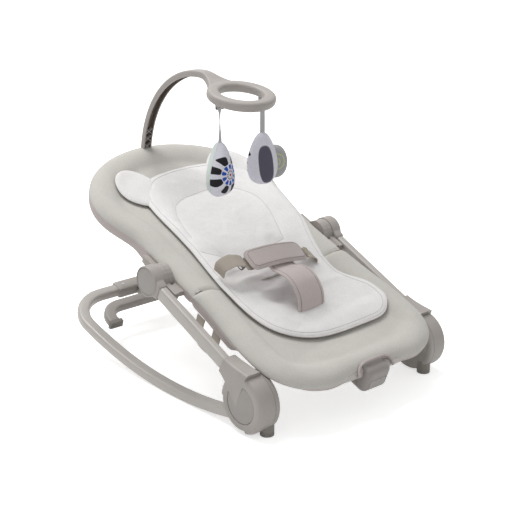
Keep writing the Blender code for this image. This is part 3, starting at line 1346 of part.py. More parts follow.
def make_bar_socket(back_plane, cover, base):
    """The joint block at the head of the loop, with a socket for the toy bar."""
    tube_s = BACK_HEAD_CENTRE + BACK_HEAD_DEPTH - END_INSET - 0.0012

    def outline(margin):
        radius = LOOP_RADIUS + SLEEVE_WALL + 0.0003 + margin
        points = arc((tube_s, RIM_LIFT), radius, radians(-35), radians(190), 12)
        points += [(tube_s - SOCKET_INNER - margin, SOCKET_BOTTOM_N - margin),
                   (tube_s + 0.0105 + margin, SOCKET_BOTTOM_N - margin)]
        return points

    socket = add_piece("toy_bar_socket", prism(outline(0.0), -SOCKET_HALF_WIDTH, SOCKET_HALF_WIDTH),
                       "dark_plastic", back_plane)
    cut(cover, add_guide("socket_room", prism(outline(TOUCH), -SOCKET_HALF_WIDTH - TOUCH,
                                              SOCKET_HALF_WIDTH + TOUCH), back_plane))
    for side in (-1, 1):
        last = half_loop(BACK_LOOP, side, TUBE_GAP_HALF - 0.0010)[-3:]
        stations = flat_stations([(u, s) for u, s, inset in last], RIM_LIFT)
        bore = sweep(stations, circle(LOOP_RADIUS + TOUCH, TUBE_SIDES))
        cut(socket, add_guide("socket_tube_bore", bore, back_plane))
    across = Vector((1.0, 0.0, 0.0))
    foot = Vector((0.0, *BOW_CURVE[0]))
    rise = (Vector((0.0, *BOW_CURVE[1])) - foot).normalized()
    outward = rise.cross(across)
    room = rounded_rectangle(BAR_WIDTH + 2 * RUN, BAR_DEPTH + 4 * RUN, 0.0002, 1)
    rings = [place_section(room, foot + rise * height, across, outward)
             for height in (-PLUG_LENGTH - TOUCH, 0.05)]
    for name, piece in (("socket_mouth", socket), ("cover_mouth", cover)):
        cut(piece, add_guide(name, skin_rings(rings), base))


def make_toy_strap(label, twist, toy_frame):
    """The ribbon of a toy with a round hem between the lugs; twist gives its turn at each point."""
    half = LUG_SPREAD + 0.0012
    hem = turned([(-half, 0.0), (-half, HEM_RADIUS), (half, HEM_RADIUS), (half, 0.0)], 12)
    strap = add_piece("toy_strap_" + label, hem, "webbing", toy_frame)
    last = len(twist) - 1
    points = [Vector((0.0, 0.0, -TOY_STRAP_LENGTH * i / last)) for i in range(last + 1)]
    across = [Vector((cos(turn), sin(turn), 0.0)) for turn in twist]
    bm = ribbon(points, across, TOY_STRAP_WIDTH, TOY_STRAP_THICKNESS)
    join(strap, add_guide("toy_ribbon_" + label, bm, toy_frame))


def pillow(half_width, height, half_thickness, top_pull, yaw, centre, rows=10, sides=16):
    """A stuffed drop-shaped pillow with a seam round it; top_pull draws its top to a point."""
    face = Vector((cos(yaw), sin(yaw), 0.0))
    depth = Vector((-sin(yaw), cos(yaw), 0.0))
    rings = []
    for i in range(rows + 1):
        turn = mix(PILLOW_END_TURN, pi - PILLOW_END_TURN, i / rows)
        drop = 0.5 * (1.0 - cos(turn))
        width = half_width * sin(turn) ** 0.8 * (1.0 - top_pull * (1.0 - drop) ** 1.5)
        thick = half_thickness * sin(turn) ** 0.9 * (1.0 - top_pull * (1.0 - drop) ** 1.5)
        z = height * (0.5 - drop)
        ring = []
        for k in range(sides):
            around = 2 * pi * k / sides
            reach = cos(around)
            swell = abs(sin(around)) ** 1.4 * (1 if sin(around) > 0 else -1)
            ring.append(centre + face * width * reach + depth * thick * swell + Vector((0.0, 0.0, z)))
        rings.append(ring)
    return skin_rings(rings)


def make_toys(bar_frame):
    """Two cloth toys that swing from the lugs under the ring."""
    frames = {}
    for label, side in (("left", -1), ("right", 1)):
        frames[label] = add_frame("toy_axis_" + label, bar_frame,
                                  (side * TOY_X, RING_CENTRE[0], TOY_AXIS_Z))
    top_cap = 0.5 * (1.0 - cos(PILLOW_END_TURN))
    middle = -TOY_STRAP_LENGTH - TOUCH - TOY_HEIGHT * (0.5 - top_cap)
    left_yaw = radians(14)
    left_twist = [0.0, radians(38), radians(48), radians(40), radians(26), left_yaw]
    make_toy_strap("left", left_twist, frames["left"])
    bm = pillow(0.041, TOY_HEIGHT, 0.025, 0.62, left_yaw, Vector((0.0, 0.0, middle)))
    add_piece("toy_left_pillow", bm, "toy_cloth", frames["left"])
    right_yaw = radians(-35)
    make_toy_strap("right", [0.0, radians(-24), right_yaw, right_yaw], frames["right"])
    bm = pillow(0.036, TOY_HEIGHT - 0.004, 0.020, 0.45, right_yaw, Vector((0.0, 0.0, middle + 0.002)))
    add_piece("toy_right_pillow", bm, "toy_cloth", frames["right"])
    face = Vector((cos(right_yaw), sin(right_yaw), 0.0))
    depth = Vector((-sin(right_yaw), cos(right_yaw), 0.0))
    lobe_centre = face * 0.027 + depth * 0.0264 + Vector((0.0, 0.0, middle - 0.012))
    bm = pillow(0.029, 0.072, 0.014, 0.10, right_yaw, lobe_centre, 8, 14)
    add_piece("toy_right_lobe", bm, "toy_grey_cloth", frames["right"])


# Whole object

def half_loop(loop, side, end_half):
    """One side of a loop's path, from the hub to the socket in the middle of its end."""
    path = [(u, s, inset) for u, s, inset in loop.centre_line(LOOP_END) if side * u > 1e-6]
    if side > 0:
        path.reverse()
    middle = loop.along * (loop.centre + loop.depth - END_INSET)
    u, s, inset = path[-1]
    end_u = side * end_half
    share = (u - end_u) / u
    return path + [(end_u, mix(s, middle, share), inset)]


def cut_slots(pieces, seat_plane):
    """Openings for the crotch strap and the two waist belts through the insert and the cover."""
    half_belt = BELT_THICKNESS / 2 + RUN
    half_strap = STRAP_THICKNESS / 2 + RUN
    openings = [("crotch", (-SLIT_HALF_WIDTH, SLIT_HALF_WIDTH), (SLIT_S - half_strap, SLIT_S + half_strap))]
    for side in (-1, 1):
        u = side * BELT_SLOT_U
        openings.append(("belt", (u - half_belt, u + half_belt),
                         (BELT_SLOT_S - BELT_WIDTH / 2 - RUN, BELT_SLOT_S + BELT_WIDTH / 2 + RUN)))
    for name, u_range, s_range in openings:
        for piece in pieces:
            bm = block(u_range, s_range, (-0.05, 0.05))
            cut(piece, add_guide(name + "_slot", bm, seat_plane))


def build():
    clear_scene()
    root = add_frame("rocker", None, (0.0, -MIDDLE_Y, 0.0))
    rail_front = add_frame("rail_front", root, (0.0, 0.0, LOWER_AXIS_Z))
    tail_plane = add_frame("tail_plane", root, crossbar_centre(), TAIL_ANGLE)
    stand_axis = add_frame("stand_axis", tail_plane, (0.0, STAND_AXIS_T, STAND_AXIS_N))
    fold_axis = add_frame("fold_axis", root, (0.0, 0.0, LOWER_AXIS_Z))
    leg_plane = add_frame("leg_plane", fold_axis, (0.0, 0.0, 0.0), LEG_ANGLE)
    upper_axis = add_frame("upper_axis", fold_axis, (0.0, UPPER_AXIS_Y, UPPER_AXIS_Z - LOWER_AXIS_Z))
    seat_plane = add_frame("seat_plane", upper_axis, (0.0, 0.0, 0.0), SEAT_ANGLE)
    harness = add_frame("harness", fold_axis, (0.0, 0.0, -LOWER_AXIS_Z))
    recline_axis = add_frame("recline_axis", upper_axis)
    back_plane = add_frame("back_plane", recline_axis, (0.0, 0.0, 0.0), BACK_ANGLE)
    bar_frame = add_frame("bar_frame", recline_axis, (0.0, -UPPER_AXIS_Y, -UPPER_AXIS_Z))

    make_bridge(tail_plane)
    make_kickstand(stand_axis)
    make_stand_pin(stand_axis)
    for label, side in (("left", -1), ("right", 1)):
        make_rail(side, label, root)
        make_rail_end(side, label, rail_front)
        make_hub_shells(side, label, fold_axis, leg_plane)
        make_fold_pin(side, label, fold_axis)
        make_fold_button(side, label, fold_axis)
        make_front_foot(side, label, fold_axis)
        make_leg(side, label, leg_plane)
        make_leg_drum(side, label, upper_axis, leg_plane)
        make_recline_pin(side, label, upper_axis)
        make_recline_button(side, label, upper_axis)
        make_loop_arm("seat_arm_" + label, side, -1, SEAT_DRUM_X, LEG_DRUM_X - TOUCH, seat_plane)
        make_loop_arm("back_arm_" + label, side, 1, BACK_DRUM_X, SEAT_DRUM_X - TOUCH, back_plane)
        make_tube("back_tube_" + label, half_loop(BACK_LOOP, side, TUBE_GAP_HALF), back_plane)
        make_carry_strap(side, label, seat_plane)

    make_tube("seat_tube", SEAT_LOOP.centre_line(LOOP_END), seat_plane)
    seat_cover = make_cover("seat_cover", SEAT_LOOP, seat_plane)
    back_cover = make_cover("back_cover", BACK_LOOP, back_plane)
    seat_insert = make_insert("seat_insert", seat_insert_side(), -1, seat_cover, seat_plane)
    make_insert("back_insert", back_insert_side(), 1, back_cover, back_plane)
    cut_slots((seat_cover, seat_insert), seat_plane)
    make_front_unit(seat_plane, seat_cover)
    make_crotch_strap(harness)
    make_waist_pad(harness)
    for label, side in (("left", -1), ("right", 1)):
        mouth = seat_point(BELT_SLOT_S, BELT_MOUTH_N, side * BELT_SLOT_U)
        make_belt(side, label, harness, mouth)
    make_toy_bar(bar_frame)
    make_bar_socket(back_plane, back_cover, bar_frame)
    make_toys(bar_frame)


build()
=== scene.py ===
"""Baby rocker: the finished look of every piece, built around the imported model."""
import logging
from dataclasses import dataclass, field
from enum import Enum
from functools import cache
from math import asin, cos, pi, radians, sin, sqrt
from typing import Callable, Sequence

import bmesh
import bpy
import numpy as np
from mathutils import Matrix, Vector, noise
from mathutils.bvhtree import BVHTree


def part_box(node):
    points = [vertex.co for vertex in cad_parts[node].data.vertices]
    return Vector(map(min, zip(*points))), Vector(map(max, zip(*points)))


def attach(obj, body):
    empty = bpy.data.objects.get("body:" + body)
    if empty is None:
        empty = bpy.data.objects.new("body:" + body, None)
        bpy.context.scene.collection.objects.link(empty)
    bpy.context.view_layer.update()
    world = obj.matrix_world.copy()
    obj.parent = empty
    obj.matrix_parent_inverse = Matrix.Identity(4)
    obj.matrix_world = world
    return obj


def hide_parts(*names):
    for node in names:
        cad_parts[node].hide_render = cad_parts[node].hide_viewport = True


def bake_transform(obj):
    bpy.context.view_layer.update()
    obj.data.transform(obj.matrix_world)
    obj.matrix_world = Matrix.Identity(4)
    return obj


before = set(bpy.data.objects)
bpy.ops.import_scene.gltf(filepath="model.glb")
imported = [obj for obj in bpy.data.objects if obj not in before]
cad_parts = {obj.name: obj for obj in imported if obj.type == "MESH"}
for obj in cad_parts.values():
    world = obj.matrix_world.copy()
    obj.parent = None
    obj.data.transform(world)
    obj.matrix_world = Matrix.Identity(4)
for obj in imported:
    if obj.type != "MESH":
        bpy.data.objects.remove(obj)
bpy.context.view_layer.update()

log = logging.getLogger("rocker")

Point = tuple[float, float]
Spot = tuple[float, float, float]
Colour = tuple[int, int, int]
Socket = bpy.types.NodeSocket
Piece = bpy.types.Object
MIDDLE_Y = 0.2617          # the middle of the model's length, from the origin of its side drawing
HINGE = (0.281 - MIDDLE_Y, 0.223)     # y and z of the upper hub's axis, on which the backrest turns
X_AXIS = Vector((1.0, 0.0, 0.0))
Y_AXIS = Vector((0.0, 1.0, 0.0))
Z_AXIS = Vector((0.0, 0.0, 1.0))
SIDES = (("left", -1), ("right", 1))
SMOOTH_ANGLE = radians(34)  # a machined or moulded edge up to this angle is smooth
LOWER_BODY = "legs_and_seat"


class Slot(Enum):
    """Material slots of the record."""

    TUBE = "painted_tube"
    FRAME = "frame_plastic"
    DARK = "dark_plastic"
    RUBBER = "rubber"
    GREY = "grey_cloth"
    WHITE = "white_cloth"
    TAUPE = "taupe_cloth"
    WEBBING = "webbing"
    TOY = "toy_cloth"
    TOY_GREY = "toy_grey_cloth"


def linear(colour: tuple[int, int, int]) -> tuple[float, float, float, float]:
    """Turns an 8-bit screen colour into the linear value that a shader takes.

    Args:
        colour: Red, green and blue from 0 to 255.

    Returns:
        The linear colour with full alpha.
    """
    values = [c / 255.0 for c in colour]
    made = [v / 12.92 if v <= 0.04045 else ((v + 0.055) / 1.055) ** 2.4 for v in values]
    return made[0], made[1], made[2], 1.0


def mix(a: float, b: float, share: float) -> float:
    """Goes from a to b by share."""
    return a + (b - a) * share


def smooth(value: float) -> float:
    """Eases a share from 0 to 1."""
    value = min(1.0, max(0.0, value))
    return value * value * (3.0 - 2.0 * value)


def arc(centre: Point, radius: float, start: float, end: float, steps: int) -> list[Point]:
    """Points on an arc in a plane, both ends included."""
    turns = [mix(start, end, i / steps) for i in range(steps + 1)]
    return [(centre[0] + radius * cos(t), centre[1] + radius * sin(t)) for t in turns]


def rounded_rectangle(width: float, height: float, corner: float, steps: int = 4) -> list[Point]:
    """A rectangle about the origin with rounded corners, anticlockwise.

    Args:
        width: Its size across.
        height: Its size up.
        corner: Radius of its corners.
        steps: Lines round each corner.

    Returns:
        Its outline.
    """
    points: list[Point] = []
    for quarter, (across, up) in enumerate(((1, 1), (-1, 1), (-1, -1), (1, -1))):
        centre = (across * (width / 2 - corner), up * (height / 2 - corner))
        start = quarter * pi / 2
        points += arc(centre, corner, start, start + pi / 2, steps)
    return points


def side_place(y: float, z: float, x: float = 0.0) -> Vector:
    """A place that is measured on the side drawing."""
    return Vector((x, y - MIDDLE_Y, z))


def turned(radius: float, start: float, end: float, count: int) -> list[Point]:
    """Points about the origin from one angle to another."""
    return [(radius * cos(t), radius * sin(t)) for t in np.linspace(start, end, count)]


def tangents(path: Sequence[Vector]) -> list[Vector]:
    """From each point's neighbour before to its neighbour after, along an open path."""
    last = len(path) - 1
    return [path[min(i + 1, last)] - path[max(i - 1, 0)] for i in range(last + 1)]


def smooth_path(points: Sequence[Vector], step: float) -> list[Vector]:
    """Runs a smooth curve through points.

    Args:
        points: The points that the curve passes.
        step: Rough distance between the points that come back.

    Returns:
        Points along the curve, both ends included.
    """
    made = [points[0].copy()]
    last = len(points) - 1
    for i in range(last):
        a, b = points[i], points[i + 1]
        before = points[max(i - 1, 0)]
        after = points[min(i + 2, last)]
        count = max(2, round((b - a).length / step))
        reach = (b - a).length
        first = (b - before).normalized() * reach
        second = (after - a).normalized() * reach
        for k in range(1, count + 1):
            t = k / count
            made.append(a * (2 * t ** 3 - 3 * t ** 2 + 1) + first * (t ** 3 - 2 * t ** 2 + t)
                        + b * (3 * t ** 2 - 2 * t ** 3) + second * (t ** 3 - t ** 2))
    return made


@dataclass(frozen=True)
class Slope:
    """A plane through the upper hub axis, read as u across, s towards the head and n off its face."""

    angle: float
    origin: Vector = field(default_factory=lambda: Vector((0.0, *HINGE)))

    def point(self, u: float, s: float, n: float) -> Vector:
        """The place of (u, s, n) in the model's frame."""
        return self.origin + Vector((u, s * cos(self.angle) - n * sin(self.angle),
                                     s * sin(self.angle) + n * cos(self.angle)))

    def normal(self) -> Vector:
        """Direction off the plane's face."""
        return Vector((0.0, -sin(self.angle), cos(self.angle)))


SEAT = Slope(radians(21.0))
BACK = Slope(radians(22.3))
TURNOVER = 0.030           # the sheet's slope changes within this distance of the joint


def sheet(s: float) -> Slope:
    """The seat's plane below the joint and the backrest's above it, with a soft change between."""
    return Slope(mix(SEAT.angle, BACK.angle, smooth(0.5 + 0.5 * s / TURNOVER)))


def sheet_point(u: float, s: float, n: float) -> Vector:
    """The place of (u, s, n) on the seat or the backrest."""
    return sheet(s).point(u, s, n)


def across_joint(piece: Piece, reach: float) -> None:
    """Bakes a piece's place into its mesh; it does not bend it from the seat to the backrest.

    Args:
        piece: The piece.
        reach: Distance from the joint on both sides; the points found with it are not used.
    """
    start, end = (sheet_point(0.0, side * reach, 0.0) for side in (-1, 1))
    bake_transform(piece)
    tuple(start)
    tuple(end)


# Shader graphs

class Graph:
    """Adds, sets and links the nodes of one tree."""

    def __init__(self, tree: bpy.types.NodeTree) -> None:
        """Takes the tree that gets the nodes."""
        self.tree = tree

    def put(self, node: bpy.types.Node, inputs: dict) -> None:
        """Fills a node's inputs.

        Args:
            node: The node.
            inputs: Values, or sockets to link, by input name or number.
        """
        for key, value in inputs.items():
            if isinstance(value, Socket):
                self.tree.links.new(value, node.inputs[key])
            else:
                node.inputs[key].default_value = value

    def add(self, kind: str, inputs: dict | None = None, **settings: object) -> bpy.types.Node:
        """Adds a node.

        Args:
            kind: Blender's name of the node type, after "ShaderNode".
            inputs: Values, or sockets to link, by input name or number.
            settings: Properties of the node.

        Returns:
            The new node.
        """
        node = self.tree.nodes.new("ShaderNode" + kind)
        for key, value in settings.items():
            setattr(node, key, value)
        self.put(node, inputs or {})
        return node

    def math(self, operation: str, *values: object) -> Socket:
        """Adds a Math node and gives its output."""
        return self.add("Math", dict(enumerate(values)), operation=operation).outputs[0]

    def ramp(self, value: Socket, low: float, high: float) -> Socket:
        """Maps low to 0 and high to 1, clamped and eased."""
        ends = {"Value": value, "From Min": low, "From Max": high}
        return self.add("MapRange", ends, interpolation_type="SMOOTHSTEP").outputs[0]

    def span(self, value: Socket, low: float, high: float) -> Socket:
        """Maps 0 to low and 1 to high."""
        return self.add("MapRange", {"Value": value, "To Min": low, "To Max": high}).outputs[0]

    def blend(self, share: object, first: object, second: object, way: str = "MIX") -> Socket:
        """Mixes two colours by a mask."""
        node = self.add("Mix", {0: share, 6: first, 7: second}, data_type="RGBA", blend_type=way)
        return node.outputs[2]

    def noise(self, place: Socket, scale: object, detail: float, roughness: float = 0.5) -> Socket:
        """Adds a noise texture and gives its value."""
        inputs = {"Vector": place, "Scale": scale, "Detail": detail, "Roughness": roughness}
        return self.add("TexNoise", inputs).outputs[0]

    def object_place(self) -> Socket:
        """The object coordinates."""
        return self.add("TexCoord").outputs["Object"]

    def seen_directly(self) -> Socket:
        """Tells what is seen directly from what only lights other things.

        Returns:
            1 where the camera, a reflection or a see-through surface shows it, else 0.
        """
        path = self.add("LightPath").outputs
        seen = self.math("MAXIMUM", path["Is Camera Ray"], path["Is Glossy Ray"])
        return self.math("MAXIMUM", seen, path["Is Transmission Ray"])


class Group(Graph):
    """A shader node group with number inputs and number outputs."""

    def __init__(self, name: str, inputs: dict[str, float], outputs: Sequence[str]) -> None:
        """Starts the group.

        Args:
            name: Name of the group.
            inputs: Its inputs with their usual values.
            outputs: Its outputs.
        """
        super().__init__(bpy.data.node_groups.new(name, "ShaderNodeTree"))
        face = self.tree.interface
        for key, value in inputs.items():
            face.new_socket(name=key, in_out="INPUT", socket_type="NodeSocketFloat").default_value = value
        for key in outputs:
            face.new_socket(name=key, in_out="OUTPUT", socket_type="NodeSocketFloat")
        self.given = self.tree.nodes.new("NodeGroupInput").outputs

    def end(self, outputs: dict[str, Socket]) -> bpy.types.NodeTree:
        """Links the group's outputs and gives its tree."""
        self.put(self.tree.nodes.new("NodeGroupOutput"), outputs)
        return self.tree


@cache
def moulded_grain() -> bpy.types.NodeTree:
    """Fine moulded grain: its height and a slow mottle.

    Returns:
        The node group, made once.
    """
    g = Group("moulded_grain", {"Scale": 900.0, "Depth": 1.0}, ("Height", "Mottle"))
    place = g.object_place()
    pits = g.add("TexVoronoi", {"Vector": place, "Scale": g.given["Scale"]})
    fine = g.noise(place, g.given["Scale"], 3.0)
    slow = g.noise(place, 14.0, 4.0, 0.6)
    both = g.math("ADD", g.math("MULTIPLY", pits.outputs["Distance"], 0.6), fine)
    return g.end({"Height": g.math("MULTIPLY", both, g.given["Depth"]), "Mottle": g.ramp(slow, 0.34, 0.66)})


@cache
def woven_threads() -> bpy.types.NodeTree:
    """Threads of a plain weave, flecks of a melange yarn and slow shade changes.

    Returns:
        The node group, made once.
    """
    g = Group("woven_threads", {"Threads": 900.0, "Slope": radians(21.5), "Fleck": 420.0},
              ("Height", "Flecks", "Shade"))
    turn = g.add("CombineXYZ", {"X": g.math("MULTIPLY", g.given["Slope"], -1.0)})
    place = g.add("VectorRotate", {"Vector": g.object_place(), "Rotation": turn.outputs[0]},
                  rotation_type="EULER_XYZ").outputs[0]
    axes = g.add("SeparateXYZ", {"Vector": place})
    rate = g.math("MULTIPLY", g.given["Threads"], 2 * pi)
    waves = [g.math("SINE", g.math("MULTIPLY", axes.outputs[i], rate)) for i in range(3)]
    weave = g.math("ADD", g.math("MULTIPLY", waves[0], waves[1]), g.math("MULTIPLY", waves[2], 0.5))
    drawn = g.add("VectorMath", {0: place, 1: (0.35, 1.0, 1.0)}, operation="MULTIPLY")
    yarn = g.noise(drawn.outputs[0], g.given["Fleck"], 2.5, 0.65)
    slow = g.noise(place, 22.0, 5.0, 0.62)
    return g.end({"Height": g.math("ADD", g.math("MULTIPLY", weave, 0.5), yarn),
                  "Flecks": g.ramp(yarn, 0.36, 0.64), "Shade": g.ramp(slow, 0.30, 0.70)})


def new_material(name: str) -> tuple[bpy.types.Material, Graph, bpy.types.Node]:
    """Starts a node material.

    Args:
        name: Name of the finish.

    Returns:
        The material, its graph and its shader.
    """
    made = bpy.data.materials.new(name)
    made.use_nodes = True
    return made, Graph(made.node_tree), made.node_tree.nodes["Principled BSDF"]


@dataclass(frozen=True)
class Moulded:
    """A plastic, painted, rubber or metal finish with a fine grain."""

    name: str
    colour: Colour
    roughness: float = 0.5
    grain: float = 900.0
    depth: float = 0.00006
    variation: float = 0.06
    metallic: float = 0.0
    coat: float = 0.0

    @cache
    def material(self) -> bpy.types.Material:
        """Makes the finish's material.

        Returns:
            The node material, made once.
        """
        made, g, shader = new_material(self.name)
        grain = g.add("Group", node_tree=moulded_grain())
        g.put(grain, {"Scale": self.grain})
        grain = grain.outputs
        base = linear(self.colour)
        darker, lighter = (tuple(c * share for c in base[:3]) + (1.0,)
                           for share in (1.0 - self.variation, 1.0 + self.variation))
        bump = g.add("Bump", {"Height": grain["Height"], "Strength": 0.5, "Distance": self.depth})
        g.put(shader, {"Base Color": g.blend(grain["Mottle"], darker, lighter),
                       "Roughness": g.span(grain["Mottle"], self.roughness - 0.04, self.roughness + 0.05),
                       "Normal": bump.outputs[0], "Metallic": self.metallic, "Coat Weight": self.coat,
                       "Coat Roughness": 0.25})
        made.diffuse_color = base
        return made


@dataclass(frozen=True)
class Woven:
    """A woven cloth with flecks of a lighter and a darker yarn."""

    name: str
    light: Colour
    dark: Colour
    threads: float = 1100.0
    fleck: float = 900.0
    depth: float = 0.00035
    shade: float = 0.05
    sheen: float = 0.15

    @cache
    def material(self) -> bpy.types.Material:
        """Makes the cloth's material.

        Returns:
            The node material, made once.
        """
        made, g, shader = new_material(self.name)
        cloth = g.add("Group", node_tree=woven_threads())
        g.put(cloth, {"Threads": self.threads, "Fleck": self.fleck})
        cloth = cloth.outputs
        yarn = g.blend(cloth["Flecks"], linear(self.dark), linear(self.light))
        worn = g.span(cloth["Shade"], 1.0 - self.shade, 1.0 + self.shade * 0.5)
        grey = g.add("CombineColor", {0: worn, 1: worn, 2: worn})
        bump = g.add("Bump", {"Height": cloth["Height"], "Strength": 0.45, "Distance": self.depth})
        g.put(shader, {"Base Color": g.blend(1.0, yarn, grey.outputs[0], "MULTIPLY"),
                       "Roughness": g.span(cloth["Flecks"], 0.88, 0.98), "Normal": bump.outputs[0],
                       "Sheen Weight": self.sheen, "Sheen Roughness": 0.5, "Specular IOR Level": 0.2})
        made.diffuse_color = linear(self.light)
        return made


SOFT_CLOTH = {"depth": 0.00025, "shade": 0.03}
SEWING = {"threads": 1400.0, "fleck": 1100.0}
TOY_CLOTH = {"threads": 1400.0, "fleck": 1000.0}

PAINTED = Moulded("tube_paint", (176, 171, 166), 0.42, grain=1500.0, depth=0.00003, variation=0.03,
                  metallic=0.10, coat=0.10)
FRAME = Moulded("frame_moulding", (164, 158, 153), 0.48)
# a darker copy of the frame plastic: painted shade for the caps' and the unit button's faces turned away from
# the lamps
CAP_SHADED = Moulded("cap_painted_shade", (156, 152, 148), 0.52)
# a darker copy of the frame plastic: painted shade of the front unit's shaded front face
UNIT_SHADED = Moulded("unit_painted_shade", (150, 144, 140), 0.50)
DARK = Moulded("inner_moulding", (118, 110, 104), 0.58)
# painted shade for the inside of the toy bar's open channel, darker and browner than the frame plastic
CHANNEL_SHADE = Moulded("channel_painted_shade", (112, 100, 92), 0.60)
STEEL = Moulded("bright_steel", (200, 200, 203), 0.28, grain=2200.0, depth=0.00002, variation=0.04,
                metallic=1.0)
SLIDER = Moulded("slider_moulding", (184, 175, 162), 0.45)
RUBBER = Moulded("grey_rubber", (146, 141, 136), 0.75, grain=700.0, depth=0.0001, variation=0.08)
MELANGE = Woven("melange_cloth", (204, 201, 195), (195, 192, 186), **SOFT_CLOTH)
TAUPE = Woven("taupe_cloth_weave", (196, 186, 183), (187, 177, 174), **SOFT_CLOTH)
STRAP = Woven("taupe_strap_weave", (206, 195, 193), (197, 186, 184), **SOFT_CLOTH)
STITCH = Woven("taupe_stitching", (157, 146, 144), (147, 137, 135))
PALE = Woven("pale_cloth", (238, 236, 235), (229, 227, 226), threads=1200.0, fleck=800.0, depth=0.0003,
             shade=0.03)
BINDING = Woven("pale_binding", (232, 230, 229), (224, 222, 220), **SEWING)
SEWN = Woven("pale_stitching", (208, 205, 202), (200, 196, 194), **SEWING)
WEBBING = Woven("ribbed_webbing", (180, 171, 160), (166, 157, 146), threads=520.0, fleck=1200.0, depth=0.0006)
TOY_RIBBON = Woven("toy_ribbon", (200, 200, 203), (188, 188, 192), threads=1200.0, fleck=1200.0)
TOY_PALE = Woven("toy_pale_cloth", (228, 227, 236), (222, 221, 231), **TOY_CLOTH)
TOY_MINT = Woven("toy_mint_cloth", (214, 223, 219), (206, 216, 212), **TOY_CLOTH)


# Modelling by hand

RAY_START = 0.08           # a ray down onto a piece starts this far above it

class Solid(Enum):
    """What a tool shape does to a piece."""

    JOIN = "UNION"
    CUT = "DIFFERENCE"


def deselect() -> None:
    """Leaves nothing selected and no object in edit mode."""
    if bpy.context.object and bpy.context.object.mode != "OBJECT":
        bpy.ops.object.mode_set(mode="OBJECT")
    bpy.ops.object.select_all(action="DESELECT")


def edit_all() -> None:
    """Starts editing the active object with all of it selected."""
    bpy.ops.object.mode_set(mode="EDIT")
    bpy.ops.mesh.select_all(action="SELECT")


def end_edit() -> None:
    """Ends editing."""
    bpy.ops.object.mode_set(mode="OBJECT")


def draw_out(move: Vector) -> None:
    """Extrudes what is selected by a move."""
    bpy.ops.mesh.extrude_region_move(TRANSFORM_OT_translate={"value": tuple(move)})


def linked(name: str, data: bpy.types.ID) -> Piece:
    """Puts an object with its data, both of one name, in the scene.

    Args:
        name: Name of both.
        data: Its mesh, curve, lamp or camera.

    Returns:
        The object.
    """
    data.name = name
    piece = bpy.data.objects.new(name, data)
    bpy.context.scene.collection.objects.link(piece)
    return piece


def primitive(name: str, scale: Spot = (1.0, 1.0, 1.0)) -> Piece:
    """Names the primitive that was just added and applies its place and size.

    Args:
        name: Name of the object and its mesh.
        scale: Its size on each axis.

    Returns:
        The object.
    """
    piece = bpy.context.object
    piece.name = piece.data.name = name
    piece.scale = scale
    apply_place(piece)
    return piece


def blank(name: str, outline: Sequence[Vector]) -> Piece:
    """A flat face.

    Args:
        name: Name of the piece.
        outline: Its corners in space.

    Returns:
        The piece, ready to be drawn out.
    """
    deselect()
    bpy.ops.mesh.primitive_circle_add(vertices=len(outline), radius=0.01, fill_type="NGON")
    piece = primitive(name)
    for vertex, corner in zip(piece.data.vertices, outline):
        vertex.co = corner
    return piece


def skin(name: str, bm: bmesh.types.BMesh) -> Piece:
    """Ends a hand-made mesh with its faces outwards and puts it in the scene.

    Args:
        name: Name of the object and its mesh.
        bm: The mesh.

    Returns:
        The object.
    """
    bmesh.ops.recalc_face_normals(bm, faces=bm.faces)
    mesh = bpy.data.meshes.new(name)
    bm.to_mesh(mesh)
    bm.free()
    return linked(name, mesh)


def only(piece: Piece) -> None:
    """Makes one object the only selected and the active one.

    Args:
        piece: The object.
    """
    deselect()
    piece.select_set(True)
    bpy.context.view_layer.objects.active = piece


def smooth_edges(piece: Piece, angle: float = SMOOTH_ANGLE) -> None:
    """Smooths a piece's edges up to an angle."""
    only(piece)
    bpy.ops.object.shade_smooth_by_angle(angle=angle)


def apply_place(piece: Piece) -> None:
    """Puts an object's place, turn and size into its mesh."""
    only(piece)
    bpy.ops.object.transform_apply(location=True, rotation=True, scale=True)


def face_out(piece: Piece, smooth_angle: float = SMOOTH_ANGLE) -> None:
    """Points a closed mesh's faces outwards and smooths it.

    Args:
        piece: The mesh.
        smooth_angle: Edges up to this angle are smooth.
    """
    only(piece)
    edit_all()
    bpy.ops.mesh.remove_doubles(threshold=0.00002)
    bpy.ops.mesh.normals_make_consistent(inside=False)
    end_edit()
    bpy.ops.object.shade_smooth_by_angle(angle=smooth_angle)


def apply_modifier(piece: Piece, kind: str, **settings: object) -> None:
    """Adds a modifier and applies it.

    Args:
        piece: The mesh.
        kind: Blender's name of the modifier type.
        settings: Its settings.
    """
    only(piece)
    step = piece.modifiers.new(kind.lower(), kind)
    for key, value in settings.items():
        setattr(step, key, value)
    bpy.ops.object.modifier_apply(modifier=step.name)


def soften(piece: Piece, width: float, segments: int = 2, angle: float = radians(38)) -> None:
    """Rounds a piece's sharp edges.

    Args:
        piece: The mesh.
        width: How wide they are rounded.
        segments: Faces across a rounded edge.
        angle: Edges sharper than this are rounded.
    """
    apply_modifier(piece, "BEVEL", width=width, segments=segments, limit_method="ANGLE", angle_limit=angle,
                   use_clamp_overlap=True, miter_outer="MITER_ARC")
    smooth_edges(piece, radians(40))


def combine(piece: Piece, tool: Piece, way: Solid) -> None:
    """Joins a tool shape to a piece, or cuts it out of it, and removes the tool."""
    apply_modifier(piece, "BOOLEAN", operation=way.value, solver="EXACT", object=tool)
    bpy.data.objects.remove(tool)


def mirrored(piece: Piece, name: str) -> Piece:
    """Copies a left piece for the right side.

    Args:
        piece: The left piece.
        name: Name of the copy.
    """
    twin = piece.copy()
    twin.data = piece.data.copy()
    twin.name = twin.data.name = name
    twin.data.transform(Matrix.Scale(-1.0, 4, X_AXIS))
    twin.data.flip_normals()
    bpy.context.scene.collection.objects.link(twin)
    return twin


